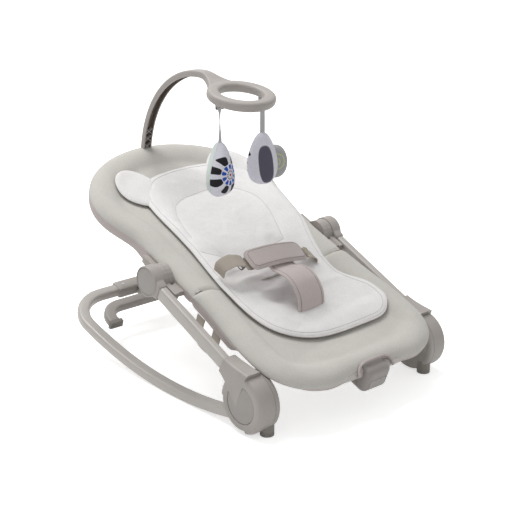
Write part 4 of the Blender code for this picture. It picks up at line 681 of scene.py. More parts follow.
def refined(node: str, name: str, width: float, segments: int = 3) -> Piece:
    """A merged copy of a CAD node with softened edges.

    Args:
        node: Name of the CAD node.
        name: Name of the copy.
        width: How wide its edges are rounded.
        segments: Faces across a rounded edge.

    Returns:
        The copy, which rides on nothing yet.
    """
    piece = linked(name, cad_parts[node].data.copy())
    piece.data.materials.clear()
    only(piece)
    edit_all()
    bpy.ops.mesh.remove_doubles(threshold=0.00001)
    bpy.ops.mesh.dissolve_limited(angle_limit=radians(1.0))
    end_edit()
    soften(piece, width, segments)
    return piece


def dress(piece: Piece, body: str, finishes: Sequence["Moulded | Woven | Printed"], slot: Slot,
          *nodes: str) -> Piece:
    """Gives a finished piece its materials and body and hides the nodes that it stands for.

    Args:
        piece: The finished mesh.
        body: The body that it rides on, or "" for none.
        finishes: Its finishes in the order of its material slots.
        slot: The record's slot; not used.
        nodes: CAD nodes that it replaces.

    Returns:
        The same piece.
    """
    if not piece.data.materials:
        for finish in finishes:
            piece.data.materials.append(finish.material())
    if body:
        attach(piece, body)
    if nodes:
        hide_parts(*nodes)
    log.info("%s: %d faces", piece.name, len(piece.data.polygons))
    return piece


def keep_node(node: str, finish: Moulded) -> None:
    """Leaves a CAD node showing in a better material.

    Args:
        node: Name of the node.
        finish: Its finish.
    """
    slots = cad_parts[node].data.materials
    slots.clear()
    slots.append(finish.material())
    log.info("%s: kept", node)


@dataclass
class Drawn:
    """A bar or tube drawn from a rounded section, run straight or turned about a centre."""

    name: str
    start: Vector
    across: Vector
    up: Vector
    width: float
    height: float
    corner: float
    segments: int = 4

    def begin(self) -> "Drawn":
        """Adds the section as a plane with rounded corners and starts editing it.

        Returns:
            The drawing itself.
        """
        deselect()
        turn = Matrix((self.across, self.up, self.across.cross(self.up))).transposed()
        bpy.ops.mesh.primitive_plane_add(size=1.0, location=self.start, rotation=turn.to_euler())
        primitive(self.name, (self.width, self.height, 1.0))
        edit_all()
        bpy.ops.mesh.bevel(offset=self.corner, offset_type="OFFSET", segments=self.segments,
                           affect="VERTICES")
        return self

    def turn(self, centre: Vector, axis: Vector, angle: float, steps: int) -> None:
        """Turns the section about an axis, right-handed."""
        bpy.ops.mesh.spin(steps=steps, angle=-angle, center=tuple(centre), axis=tuple(axis))

    def end(self) -> Piece:
        """Ends the drawing.

        Returns:
            The closed piece.
        """
        end_edit()
        piece = bpy.context.object
        face_out(piece)
        return piece


def lathed(name: str, profile: Sequence[Point], centre: Vector, sides: int = 72,
           upright: bool = False) -> Piece:
    """Turns a piece from a circle that is extruded and resized ring by ring.

    Args:
        name: Name of the piece.
        profile: Place along the axis and radius of each ring.
        centre: A point of the axis, from which the places are measured.
        sides: Faces round the piece.
        upright: True where the axis is Z and not X.

    Returns:
        The closed piece.
    """
    deselect()
    along = Z_AXIS if upright else X_AXIS
    place, radius = profile[0]
    turn = (0.0, 0.0 if upright else pi / 2, 0.0)
    bpy.ops.mesh.primitive_circle_add(vertices=sides, radius=radius, fill_type="NGON",
                                      location=centre + along * place, rotation=turn)
    piece = primitive(name)
    bpy.ops.object.mode_set(mode="EDIT")
    bpy.ops.mesh.select_mode(type="EDGE")
    bpy.ops.mesh.select_all(action="SELECT")
    for next_place, next_radius in profile[1:]:
        bpy.ops.mesh.extrude_edges_move(TRANSFORM_OT_translate={"value": tuple(along * (next_place - place))})
        share = next_radius / radius
        size = (share, share, 1.0) if upright else (1.0, share, share)
        bpy.ops.transform.resize(value=size, center_override=tuple(centre + along * next_place))
        place, radius = next_place, next_radius
    bpy.ops.mesh.edge_face_add()
    bpy.ops.mesh.select_mode(type="VERT")
    end_edit()
    face_out(piece)
    return piece


def cutter(name: str, outline: Sequence[Vector], move: Vector) -> Piece:
    """A prism.

    Args:
        name: Name of the piece.
        outline: Corners of one end in space.
        move: From that end to the other.

    Returns:
        The closed piece.
    """
    piece = blank(name, outline)
    edit_all()
    draw_out(move)
    end_edit()
    face_out(piece)
    return piece


def lofted(name: str, rings: Sequence[Sequence[Vector]], closed: bool = False,
           smooth_angle: float = radians(45)) -> Piece:
    """Skins closed rings of points in order.

    Args:
        name: Name of the piece.
        rings: Rings with the same number of points.
        closed: True where the last ring joins the first.
        smooth_angle: Edges up to this angle are smooth.

    Returns:
        The closed piece.
    """
    bm = bmesh.new()
    loops = [[bm.verts.new(point) for point in ring] for ring in rings]
    for first, second in zip(loops, loops[1:] + loops[:closed]):
        for i in range(len(first)):
            j = (i + 1) % len(first)
            bm.faces.new((first[i], first[j], second[j], second[i]))
    if not closed:
        bm.faces.new(loops[0])
        bm.faces.new(loops[-1])
    piece = skin(name, bm)
    smooth_edges(piece, smooth_angle)
    return piece


def ribbon(name: str, path: Sequence[Vector], across: Sequence[Vector], width: float,
           thickness: float, crown: float = 0.0) -> Piece:
    """A strap along a path.

    Args:
        name: Name of the strap.
        path: Points of its middle line.
        across: Its width direction at each point.
        width: Width of the strap.
        thickness: Thickness at its edges.
        crown: Extra thickness in the middle of a padded strap.

    Returns:
        The strap.
    """
    rings = []
    for point, along, wide in zip(path, tangents(path), across):
        along = along.normalized()
        up = wide.normalized().cross(along).normalized()
        side = along.cross(up).normalized()
        rings.append([point + side * a + up * b for a, b in strap_section(width, thickness, crown)])
    return lofted(name, rings)


def strap_section(width: float, thickness: float, crown: float, steps: int = 8) -> list[Point]:
    """Outline of a strap with rounded edges and a crowned middle.

    Args:
        width: Width of the strap.
        thickness: Thickness at its edges.
        crown: Extra thickness in the middle of its face, and 0.4 of it on its back.
        steps: Lines across each side.

    Returns:
        The outline as (across, up).
    """
    half = width / 2 - thickness / 2
    points: list[Point] = []
    for side, start, swell in ((1, -pi / 2, crown), (-1, pi / 2, 0.4 * crown)):
        points += arc((side * half, 0.0), thickness / 2, start, start + pi, 4)
        for i in range(1, steps):
            a = mix(side * half, -side * half, i / steps)
            points.append((a, side * (thickness / 2 + swell * (1.0 - (a / half) ** 4))))
    return points


def cord_line(name: str, points: Sequence[Vector], radius: float, closed: bool = False) -> Piece:
    """A thin round line, such as piping or a sewn thread.

    Args:
        name: Name of the piece.
        points: The points that it follows.
        radius: Its radius.
        closed: True where its end joins its start.

    Returns:
        The line as a mesh.
    """
    deselect()
    curve = bpy.data.curves.new(name, "CURVE")
    curve.dimensions = "3D"
    curve.bevel_depth = radius
    curve.bevel_resolution = 2
    curve.use_fill_caps = True
    spline = curve.splines.new("POLY")
    spline.points.add(len(points) - 1)
    for place, point in zip(spline.points, points):
        place.co = (*point, 1.0)
    spline.use_cyclic_u = closed
    only(linked(name, curve))
    bpy.ops.object.convert(target="MESH")
    piece = bpy.context.object
    piece.data.name = name
    face_out(piece, radians(60))
    return piece


def laid_on(piece: Piece, points: Sequence[Vector], ups: Sequence[Vector]) -> list[Vector]:
    """Brings points down onto a piece's face.

    Args:
        piece: The piece that they lie on.
        points: Points under or over its face.
        ups: The way up from the face at each point.

    Returns:
        The places where rays from above meet the face.
    """
    tree = BVHTree.FromPolygons([vertex.co.copy() for vertex in piece.data.vertices],
                                [tuple(face.vertices) for face in piece.data.polygons])
    hits = [tree.ray_cast(point + up * RAY_START, -up)[0] for point, up in zip(points, ups)]
    return [hit or point for hit, point in zip(hits, points)]


# Padded covers

def run_lengths(points: np.ndarray) -> np.ndarray:
    """Length of a line of points up to each of them."""
    return np.concatenate([[0.0], np.cumsum(np.linalg.norm(np.diff(points, axis=0), axis=1))])


@dataclass(frozen=True)
class LoopShape:
    """Outline of the seat or the backrest in its own plane; along is -1 to the foot and +1 to the head."""

    along: int
    half_width: float
    side_inset: float
    centre: float
    depth: float
    power: float
    rise: float
    hub_half: float = 0.2035
    end_inset: float = 0.0175
    straight: float = 0.090
    hub_rise: float = 0.014
    tucks: tuple = (0.0, 0.0015, 0.004, 0.008, 0.013, 0.019)
    side_steps: int = 12
    end_steps: int = 40

    def side(self, s: float) -> Point:
        """Places the tube beside the child.

        Args:
            s: Distance from the joint.

        Returns:
            The tube centre line's half width, and its inset from the outline.
        """
        share = smooth((s - self.straight) / (self.centre - self.straight))
        tube = mix(self.hub_half - self.end_inset, self.half_width - self.side_inset, share)
        return tube, mix(self.end_inset, self.side_inset, share)

    def end_place(self, turn: float) -> Spot:
        """Places the tube on the rounded end.

        Args:
            turn: From pi on the left to 0 on the right.

        Returns:
            The tube centre line's u and s, and its inset.
        """
        across = self.half_width - self.side_inset
        bend = 2.0 / self.power
        u = across * abs(cos(turn)) ** bend * (1 if cos(turn) > 0 else -1)
        s = self.centre + (self.depth - self.end_inset) * abs(sin(turn)) ** bend
        return u, s, mix(self.side_inset, self.end_inset, sin(turn) ** 2)

    def stations(self, start: float) -> list[Spot]:
        """Places the cover's sections, closer together where its sewn end is tucked in.

        Args:
            start: Where the cover starts on both sides.

        Returns:
            Places (u, s, inset) from the left start round the end to the right start.
        """
        stops = [start + d for d in self.tucks]
        stops += [mix(stops[-1], self.centre, i / self.side_steps) for i in range(1, self.side_steps)]
        left = []
        for s in stops:
            tube, inset = self.side(max(0.0, s))
            left.append((-tube, s, inset))
        end = [self.end_place(self.even_turn(i / self.end_steps)) for i in range(self.end_steps + 1)]
        return left + end + [(-u, s, inset) for u, s, inset in reversed(left)]

    def even_turn(self, share: float) -> float:
        """Finds the turn at a share of the end's length, so that places lie evenly apart.

        Args:
            share: From 0 on the left to 1 on the right.

        Returns:
            The turn for end_place.
        """
        turns = np.linspace(pi, 0.0, 400)
        lengths = run_lengths(np.array([self.end_place(t)[:2] for t in turns]))
        return float(np.interp(share * lengths[-1], lengths, turns))


SEAT_LOOP = LoopShape(-1, 0.2180, 0.0255, 0.270, 0.141, 3.0, 0.021)
BACK_LOOP = LoopShape(1, 0.2280, 0.0175, 0.198, 0.184, 2.0, 0.019)


@dataclass
class PaddedCover:
    """A padded cover: crowned rim over the tube, dished middle and a skirt below the sewn seam."""

    name: str
    loop: LoopShape
    start: float
    rim_lift: float = 0.009
    band: float = 0.070
    dish: float = 0.020
    pad: float = 0.014
    skirt: float = 0.020
    hub_skirt: float = 0.010       # how much deeper the backrest's skirt is beside the hub
    tuck: float = 0.017
    tuck_share: float = 0.10
    seam: float = 0.0006
    wrinkle: float = 0.0010
    room: float = 0.0122           # radius of the hollow that the tube lies in
    crown: tuple = ((0.84, 0.30), (0.68, 0.60), (0.53, 0.80), (0.38, 0.93), (0.22, 1.0), (0.06, 1.0))
    shoulder: tuple = ((0.26, 0.90), (0.55, 0.74), (0.80, 0.50), (0.93, 0.27))
    wall: tuple = ((0.0006, 0.0012, 0.35), (0.0010, 0.0026, 0.75), (0.0013, 0.0035, 1.0))
    spine: tuple = (1.0, 0.80, 0.60, 0.40, 0.20)
    unit_half: float = 0.0360      # half the opening round the front unit
    unit_s: float = -0.3900
    unit_fade: float = 0.036

    def skirt_share(self, s: float) -> float:
        """Says how much of the skirt hangs.

        Args:
            s: Distance from the joint.

        Returns:
            0 at the bare rim beside the hub, 1 where it hangs fully.
        """
        share = max(smooth((s - 0.020) / 0.024), 0.55 * smooth((-s - 0.036) / 0.016))
        if self.loop.along < 0:
            share *= 1.0 - smooth((s - 0.222) / 0.028) * mix(1.0, smooth((0.375 - s) / 0.020), 0.30)
        return share

    def puff(self, s: float) -> float:
        """How full the padding is near the cover's sewn end."""
        away = min(1.0, max(0.0, (s - self.start) / self.tuck))
        return mix(self.tuck_share, 1.0, sqrt(max(0.0, 1.0 - (1.0 - away) ** 2)))

    def rim(self, s: float, inset: float) -> tuple[list[Point], range]:
        """The rim's section from its inner edge over the crown and down the skirt.

        Args:
            s: Distance from the joint.
            inset: From the outline in to the tube's centre line.

        Returns:
            The section as (outward, up) from the tube's centre, and which of its faces are the skirt.
        """
        share, full = self.skirt_share(s), self.puff(s)
        rise = mix(self.loop.hub_rise, self.loop.rise, smooth((s - 0.02) / 0.10)) * full
        inner = inset - self.band
        deep = self.skirt
        if self.loop.along > 0:
            deep += self.hub_skirt * (1.0 - smooth((s - 0.060) / 0.060))
        hem = mix(self.seam, -deep, share) * mix(0.5, 1.0, full)
        top = [(inner, 0.002 * full)] + [(inner * a, rise * b) for a, b in self.crown]
        top += [(inset * a, rise * b) for a, b in self.shoulder] + [(inset - 0.0004, rise * 0.09)]
        side = [(inset - 0.0004, self.seam - 0.0016)]
        side += [(inset - mix(a, b, share), mix(self.seam, hem, c)) for a, b, c in self.wall]
        wall = mix(0.0145, max(0.0116, inset - 0.0075), share)
        low = mix(0.4, 1.0, full)
        under = [(wall, hem), (wall - 0.0002, 0.5 * self.seam - 0.001)]
        under += [(self.room * cos(t), self.room * sin(t)) for t in map(radians, (-8, -50, -95, -140))]
        under += [(-0.0175, -0.009 * low), (inner * 0.66, -0.010 * low),
                  (inner, (0.002 - self.pad) * mix(0.3, 1.0, full))]
        skirt = range(len(top) + len(self.spine), len(top) + len(self.spine) + len(side) + 1)
        return top + [(inset - 0.0016, self.seam)] + side + under, skirt

    def section(self, place: Vector, outward: Vector, s: float, inset: float) -> tuple[list[Vector], range]:
        """A whole section of the cover, from the middle over the rim and back below.

        Args:
            place: The tube's centre in the flat plane.
            outward: Direction away from the cover's middle.
            s: Distance from the joint.
            inset: From the outline in to the tube's centre line.

        Returns:
            The section's corners, and which of its faces are the skirt.
        """
        full = self.puff(s)
        rim, skirt = self.rim(s, inset)
        middle = Vector((0.0, self.loop.along * min(s, self.loop.centre), 0.0))
        corners = [(place + outward * a, b) for a, b in rim]
        dish = -self.dish - 0.002 * (1.0 - full)
        inner, height = corners[0][0], rim[0][1]
        top = [(inner.lerp(middle, share), mix(height, dish, smooth(share))) for share in self.spine]
        bottom = [(corner, level - self.pad * mix(0.3, 1.0, full)) for corner, level in reversed(top)]
        section = top + corners + bottom
        return [Vector((corner.x, corner.y, self.rim_lift + level)) for corner, level in section], skirt

    def build(self) -> Piece:
        """Skins the sections, subdivides the skin and moves it into the seat's and backrest's planes.

        Returns:
            The cover in its two cloths.
        """
        path = self.loop.stations(self.start)
        places = [Vector((u, self.loop.along * s, 0.0)) for u, s, inset in path]
        bm = bmesh.new()
        rows = []
        skirt = range(0)
        for (u, s, inset), place, along in zip(path, places, tangents(places)):
            outward = Vector((-along.y, along.x, 0.0)).normalized() * self.loop.along
            if s < self.loop.centre * 0.5:
                outward = X_AXIS * (1.0 if u > 0 else -1.0)
            corners, skirt = self.section(place, outward, s, inset)
            rows.append([bm.verts.new(corner) for corner in corners])
        for first, second in zip(rows, rows[1:]):
            for i in range(len(first) - 1):
                face = bm.faces.new((first[i], first[i + 1], second[i + 1], second[i]))
                face.material_index = int(i in skirt)
        bmesh.ops.remove_doubles(bm, verts=bm.verts, dist=0.00005)
        bmesh.ops.contextual_create(bm, geom=[edge for edge in bm.edges if edge.is_boundary])
        piece = skin(self.name, bm)
        for finish in (MELANGE, TAUPE):
            piece.data.materials.append(finish.material())
        apply_modifier(piece, "SUBSURF", levels=2, render_levels=2)
        self.settle(piece)
        only(piece)
        bpy.ops.object.shade_smooth()
        return piece

    def settle(self, piece: Piece) -> None:
        """Adds soft wrinkles, tucks the cloth under the front unit and goes to the sloping planes.

        Args:
            piece: The flat cover.
        """
        for vertex in piece.data.vertices:
            u, s, n = vertex.co
            near = 0.4 + 1.2 * max(0.0, 1.0 - abs(self.loop.along * s - self.start) / 0.05)
            broad = Vector((u * 16.0, s * 16.0, n * 20.0 + 5.0 * self.loop.along))
            fine = Vector((u * 45.0, s * 45.0, n * 30.0))
            n += self.wrinkle * near * (noise.noise(broad) + 0.35 * noise.noise(fine))
            if self.loop.along < 0:
                s += 0.012 * (1.0 - smooth((abs(u) - 0.045) / 0.080)) * smooth((-s - 0.340) / 0.060)
                s = max(s, self.opening(u))
            vertex.co = Vector((u, s, n))
        if self.loop.along < 0:
            for face in piece.data.polygons:
                u, s, n = face.center
                if abs(u) < self.unit_half + 0.024 and s < self.opening(u) + 0.0012:
                    face.material_index = 1
        for vertex in piece.data.vertices:
            vertex.co = sheet_point(*vertex.co)

    def opening(self, u: float) -> float:
        """Where the cloth ends round the front unit, measured along the seat."""
        return mix(self.unit_s, -0.50, smooth((abs(u) - self.unit_half) / self.unit_fade))


# Stuffed pads

CLOTH_FRAMES = 20


def line_distance(points: np.ndarray, line: Sequence[Point], closed: bool) -> np.ndarray:
    """Measures how far flat points are from a line.

    Args:
        points: The points.
        line: The line's own points.
        closed: True where its end joins its start.

    Returns:
        Each point's distance.
    """
    ends = np.array(line, float)
    starts = ends if closed else ends[:-1]
    stops = np.roll(ends, -1, 0) if closed else ends[1:]
    best = np.full(len(points), 1e9)
    for a, b in zip(starts, stops):
        ab = b - a
        t = np.clip(((points - a) @ ab) / max(ab @ ab, 1e-12), 0.0, 1.0)
        best = np.minimum(best, np.linalg.norm(points - (a + t[:, None] * ab), axis=1))
    return best


def even_line(line: Sequence[Point], step: float, closed: bool = True) -> list[Point]:
    """The same line with points an even step apart.

    Args:
        line: The line's points.
        step: Rough distance between the points that come back.
        closed: True where its end joins its start.

    Returns:
        The new points.
    """
    ends = np.array(list(line) + ([line[0]] if closed else []), float)
    lengths = run_lengths(ends)
    stops = np.linspace(0.0, lengths[-1], max(4, round(lengths[-1] / step)) + 1)
    made = [(float(a), float(b)) for a, b in zip(*(np.interp(stops, lengths, ends[:, i]) for i in (0, 1)))]
    return made[:-1] if closed else made


def soft_line(line: Sequence[Point], step: float, closed: bool, rounds: int) -> list[Point]:
    """An even line whose corners are softened.

    Args:
        line: The line's points.
        step: Rough distance between the points that come back.
        closed: True where its end joins its start.
        rounds: How often each point moves towards its neighbours.

    Returns:
        The new points.
    """
    points = np.array(even_line(line, step, closed))
    for _ in range(rounds):
        moved = 0.5 * points + 0.25 * (np.roll(points, 1, 0) + np.roll(points, -1, 0))
        if not closed:
            moved[0], moved[-1] = points[0], points[-1]
        points = moved
    return [(float(a), float(b)) for a, b in points]


@dataclass
class StuffedPad:
    """A pad sewn from two flat cloths: it is cut flat, filled, and then laid where it belongs."""

    name: str
    outline: list[Point]
    thickness: float
    edge: float                    # width over which its filling rounds off
    voxel: float
    seams: list[list[Point]] = field(default_factory=list)
    closed_seams: bool = False
    seam_width: float = 0.008
    seam_share: float = 0.35       # how thick it is on a seam
    lower: float = 1.0             # share of its thickness below its middle
    pressure: float = 3.0
    cap: float = 0.004             # how far a point may move in the simulation
    two_faced: bool = False

    def cut(self) -> Piece:
        """Cuts the blank and fills it.

        Returns:
            The flat pad, remeshed to even faces.
        """
        piece = blank(self.name, [Vector((a, b, -self.thickness / 2)) for a, b in self.outline])
        edit_all()
        draw_out(Z_AXIS * self.thickness)
        bpy.ops.mesh.select_all(action="SELECT")
        bpy.ops.mesh.normals_make_consistent(inside=False)
        end_edit()
        piece.data.remesh_voxel_size = self.voxel
        bpy.ops.object.voxel_remesh()
        return piece

    def fill(self, piece: Piece) -> None:
        """Rounds the blank by its distance from edges and seams, then blows it up as cloth.

        Args:
            piece: The flat pad.
        """
        points = np.array([v.co for v in piece.data.vertices], float)
        flat = points[:, :2]
        d = line_distance(flat, self.outline, True)
        rounded = np.sqrt(np.clip(1.0 - (1.0 - np.clip(d / self.edge, 0.0, 1.0)) ** 2, 0.0, 1.0))
        held = np.ones(len(points))
        for seam in self.seams:
            away = np.clip(line_distance(flat, seam, self.closed_seams) / self.seam_width, 0.0, 1.0)
            rise = np.sqrt(1.0 - (1.0 - away) ** 2)
            held = np.minimum(held, self.seam_share + (1.0 - self.seam_share) * rise)
        share = points[:, 2] / (self.thickness / 2)
        share[share < 0] *= self.lower
        points[:, 2] = np.clip(share, -1.0, 1.0) * (self.thickness / 2) * (0.10 + 0.90 * rounded) * held
        piece.data.vertices.foreach_set("co", points.ravel())
        piece.data.update()
        apply_modifier(piece, "SMOOTH", factor=0.5, iterations=3)
        self.inflate(piece)

    def inflate(self, piece: Piece) -> None:
        """Runs a short cloth simulation with pressure and keeps its result within the cap.

        Args:
            piece: The filled pad.
        """
        rest = np.array([v.co for v in piece.data.vertices], float)
        held = piece.vertex_groups.new(name="held")
        d = line_distance(rest[:, :2], self.outline, True)
        for seam in self.seams:
            d = np.minimum(d, line_distance(rest[:, :2], seam, self.closed_seams))
        for index in np.nonzero(d < self.voxel * 0.9)[0]:
            held.add([int(index)], 1.0, "REPLACE")
        only(piece)
        cloth = piece.modifiers.new("cloth", "CLOTH")
        for key, value in {"quality": 4, "mass": 0.2, "use_pressure": True, "vertex_group_mass": held.name,
                           "uniform_pressure_force": self.pressure}.items():
            setattr(cloth.settings, key, value)
        cloth.settings.effector_weights.gravity = 0.0
        cloth.point_cache.frame_start = 1
        cloth.point_cache.frame_end = CLOTH_FRAMES
        for number in range(1, CLOTH_FRAMES + 1):
            bpy.context.scene.frame_set(number)
        bpy.ops.object.modifier_apply(modifier=cloth.name)
        bpy.context.scene.frame_set(1)
        move = np.array([v.co for v in piece.data.vertices], float) - rest
        length = np.linalg.norm(move, axis=1, keepdims=True)
        move *= np.minimum(1.0, self.cap / np.maximum(length, 1e-9))
        piece.data.vertices.foreach_set("co", (rest + move).ravel())
        piece.data.update()
        piece.vertex_groups.clear()

    def build(self, place: Callable[[float, float, float], Vector]) -> Piece:
        """Cuts and fills the pad, subdivides it and takes it from the flat pattern to its place.

        Args:
            place: Gives the place of a point of the pattern.

        Returns:
            The pad.
        """
        piece = self.cut()
        self.fill(piece)
        apply_modifier(piece, "SUBSURF", levels=1, render_levels=1)
        if self.two_faced:
            for face in piece.data.polygons:
                face.material_index = int(face.center.z <= 0.0)
        for vertex in piece.data.vertices:
            vertex.co = place(*vertex.co)
        only(piece)
        edit_all()
        bpy.ops.mesh.normals_make_consistent(inside=False)
        end_edit()
        bpy.ops.object.shade_smooth()
        return piece


def spread(grid: np.ndarray) -> np.ndarray:
    """Averages each inner value of a grid with its four neighbours, itself counted twice.

    Args:
        grid: The values.

    Returns:
        The averaged grid, with its border as it was.
    """
    made = grid.copy()
    made[1:-1, 1:-1] = (grid[1:-1, 1:-1] * 2 + grid[:-2, 1:-1] + grid[2:, 1:-1]
                        + grid[1:-1, :-2] + grid[1:-1, 2:]) / 6.0
    return made


@dataclass
class Ground:
    """Height of the covers' faces over the sheet, on a grid, with hollows bridged as by a laid cloth."""

    covers: list[Piece]
    pitch: float = 0.006
    half: float = 0.24
    front: float = -0.42
    head: float = 0.40
    above: float = 0.15
    least: float = -0.03
    levels: np.ndarray = field(init=False)

    def __post_init__(self) -> None:
        """Casts a ray at each place of the grid and smooths what is below its neighbours."""
        verts: list[Vector] = []
        faces: list[tuple[int, ...]] = []
        for cover in self.covers:
            base = len(verts)
            verts += [v.co.copy() for v in cover.data.vertices]
            faces += [tuple(base + i for i in f.vertices) for f in cover.data.polygons]
        tree = BVHTree.FromPolygons(verts, faces)
        across = np.arange(-self.half, self.half, self.pitch)
        along = np.arange(self.front, self.head, self.pitch)
        raw = np.full((len(across), len(along)), self.least)
        for i, u in enumerate(across):
            for j, s in enumerate(along):
                hit = tree.ray_cast(sheet_point(u, s, self.above), -sheet(s).normal())
                if hit[0]:
                    raw[i, j] = self.above - hit[3]
        soft = raw
        for _ in range(5):
            soft = spread(soft)
        self.levels = np.maximum(raw, soft)
        for _ in range(2):
            self.levels = np.maximum(spread(self.levels), raw)

    def level(self, u: float, s: float) -> float:
        """Reads the height between the grid's values.

        Args:
            u: Place across the sheet.
            s: Place along the sheet.

        Returns:
            The height over the sheet.
        """
        a = (u + self.half) / self.pitch
        b = (s - self.front) / self.pitch
        i = min(max(int(a), 0), self.levels.shape[0] - 2)
        j = min(max(int(b), 0), self.levels.shape[1] - 2)
        x, y = min(max(a - i, 0.0), 1.0), min(max(b - j, 0.0), 1.0)
        low, high = (self.levels[i, k] * (1 - x) + self.levels[i + 1, k] * x for k in (j, j + 1))
        return float(low * (1 - y) + high * y)


@dataclass(frozen=True)
class Fold:
    """A soft fold, or a hollow where its height is below zero, about a place of the insert."""

    u: float
    s: float
    turn: float
    length: float
    width: float
    height: float

    def rise(self, u: float, s: float) -> float:
        """Measures the fold.

        Args:
            u: Place across the sheet.
            s: Place along the sheet.

        Returns:
            How much higher the cloth is there.
        """
        x, y = u - self.u, s - self.s
        along = x * cos(self.turn) + y * sin(self.turn)
        over = y * cos(self.turn) - x * sin(self.turn)
        return self.height * np.exp(-(along / self.length) ** 2 - (over / self.width) ** 2)


@dataclass
class Insert:
    """The thin pale pad that lies on both covers, with two round ears and a sewn head area."""

    ground: Ground
    thickness: float = 0.015
    edge: tuple = ((-0.070, 0.259), (-0.096, 0.236), (-0.107, 0.206), (-0.114, 0.147), (-0.116, 0.073),
                   (-0.118, 0.030), (-0.124, -0.010), (-0.132, -0.060), (-0.138, -0.100), (-0.140, -0.135),
                   (-0.138, -0.172), (-0.130, -0.208), (-0.116, -0.236), (-0.088, -0.256), (-0.055, -0.266),
                   (-0.020, -0.271), (0.030, -0.277), (0.080, -0.283), (0.118, -0.288), (0.143, -0.282),
                   (0.162, -0.264), (0.170, -0.235), (0.167, -0.205), (0.157, -0.180), (0.144, -0.155),
                   (0.136, -0.130), (0.141, -0.092), (0.152, -0.053), (0.167, -0.010), (0.184, 0.031),
                   (0.194, 0.074), (0.199, 0.110), (0.199, 0.150), (0.194, 0.190), (0.181, 0.228),
                   (0.152, 0.262), (0.111, 0.283), (0.072, 0.289), (0.030, 0.290), (-0.008, 0.288),
                   (-0.044, 0.280))
    head_line: tuple = ((-0.094, 0.066), (-0.086, 0.107), (-0.068, 0.152), (-0.043, 0.188), (-0.002, 0.210),
                        (0.060, 0.212), (0.100, 0.199), (0.128, 0.172), (0.143, 0.133), (0.133, 0.076),
                        (0.103, -0.003))
    joint_line: tuple = ((-0.106, 0.020), (-0.080, 0.004), (-0.040, -0.008), (0.010, -0.010), (0.060, -0.006),
                         (0.103, -0.003))
    folds: tuple[Fold, ...] = (
        Fold(-0.098, -0.060, 0.30, 0.030, 0.008, 0.0060), Fold(-0.050, -0.084, 0.25, 0.045, 0.008, 0.0055),
        Fold(-0.020, -0.106, 0.20, 0.045, 0.014, -0.0055), Fold(-0.040, -0.130, 0.12, 0.050, 0.008, 0.0045),
        Fold(-0.020, -0.152, 0.08, 0.040, 0.012, -0.0065), Fold(0.085, -0.150, -0.25, 0.055, 0.012, 0.0028),
        Fold(0.130, -0.110, 1.1, 0.040, 0.010, 0.0030), Fold(0.070, 0.020, 1.0, 0.070, 0.012, 0.0022),
        Fold(-0.060, 0.020, 2.0, 0.050, 0.012, 0.0020))
    ears_at: tuple = ((-0.094, 0.250), (0.156, 0.250))
    ear_radius: float = 0.056
    ear_drop: float = 0.009        # how far an ear may hang below the ground at its middle
    border: float = 0.0085
    lift: float = 0.0045
    joint_reach: float = 0.060     # passed to across_joint, which does not bend the pieces

    def outline(self) -> list[Point]:
        """The body's whole outline on the sheet."""
        return soft_line(self.edge, 0.006, True, 8)

    def seams(self) -> dict[str, list[Point]]:
        """The sewn lines.

        Returns:
            The line round the head area, the line near the joint and the one that follows the edge.
        """
        line = self.outline()
        border = []
        for i, (u, s) in enumerate(line):
            along = (Vector(line[(i + 1) % len(line)]) - Vector(line[i - 1])).normalized()
            border.append((u - along.y * self.border, s + along.x * self.border))
        return {"head": soft_line(self.head_line, 0.005, False, 10),
                "joint": soft_line(self.joint_line, 0.005, False, 10), "border": border + border[:1]}

    def body(self) -> None:
        """Sews the body and lays it across the joint."""
        seams = self.seams()
        pad = StuffedPad("insert_pad", self.outline(), self.thickness, edge=0.011, voxel=0.0046,
                         seams=list(seams.values()), seam_width=0.011, seam_share=0.26, lower=0.25,
                         cap=0.0035)
        piece = pad.build(self.rest)
        dress(piece, "", [PALE], Slot.WHITE, "seat_insert", "back_insert")
        sewn = []
        for name, seam in seams.items():
            line = even_line(seam, 0.005, False)
            ups = [sheet(s).normal() for u, s in line]
            laid = laid_on(piece, [sheet_point(u, s, 0.0) for u, s in line], ups)
            sewn.append(dress(cord_line("insert_stitches_" + name, laid, 0.0006), "", [SEWN], Slot.WHITE))
        for part in [piece] + sewn:
            across_joint(part, self.joint_reach)

    def rest(self, u: float, s: float, c: float, least: float = -0.03) -> Vector:
        """Place of a point of the pad on its ground, with soft folds near the straps.

        Args:
            u: Place across the sheet.
            s: Place along the sheet.
            c: Height over the pad's middle.
            least: Lowest height of the middle, so that a stiff edge stands out past the ground's.

        Returns:
            The place in the scene.
        """
        swell = (0.0011 * noise.noise(Vector((u * 26.0, s * 26.0, 3.0)))
                 + 0.0006 * noise.noise(Vector((u * 70.0, s * 70.0, 8.0))))
        for fold in self.folds:
            swell += fold.rise(u, s)
        share = max(0.0, c / (self.thickness / 2))
        return sheet_point(u, s, max(self.floor(u, s), least) + c + share * float(swell))

    def floor(self, u: float, s: float) -> float:
        """Height of the pad's middle, which stands off the cover towards its front and its near side."""
        away = max(1.0 - smooth((u + 0.085) / 0.06), smooth((-s - 0.225) / 0.03))
        return self.ground.level(u, s) + 0.0008 + 0.25 * self.thickness / 2 + self.lift * away

    def ears(self) -> None:
        """The two round ears sewn under the pad's head corners."""
        for (label, side), centre in zip(SIDES, self.ears_at):
            outline, ring = (arc(centre, self.ear_radius - d, 0.0, 2 * pi, 48)[:-1] for d in (0.0, 0.007))
            pad = StuffedPad("insert_ear_" + label, outline, 0.013, edge=0.020, voxel=0.004, seams=[ring],
                             closed_seams=True, seam_width=0.004, seam_share=0.72, lower=0.25, pressure=4.0,
                             cap=0.003)
            least = self.ground.level(*centre) - self.ear_drop
            piece = pad.build(lambda u, s, c, least=least: self.rest(u, s, c - 0.0015, least))
            dress(piece, "backrest", [PALE], Slot.WHITE)

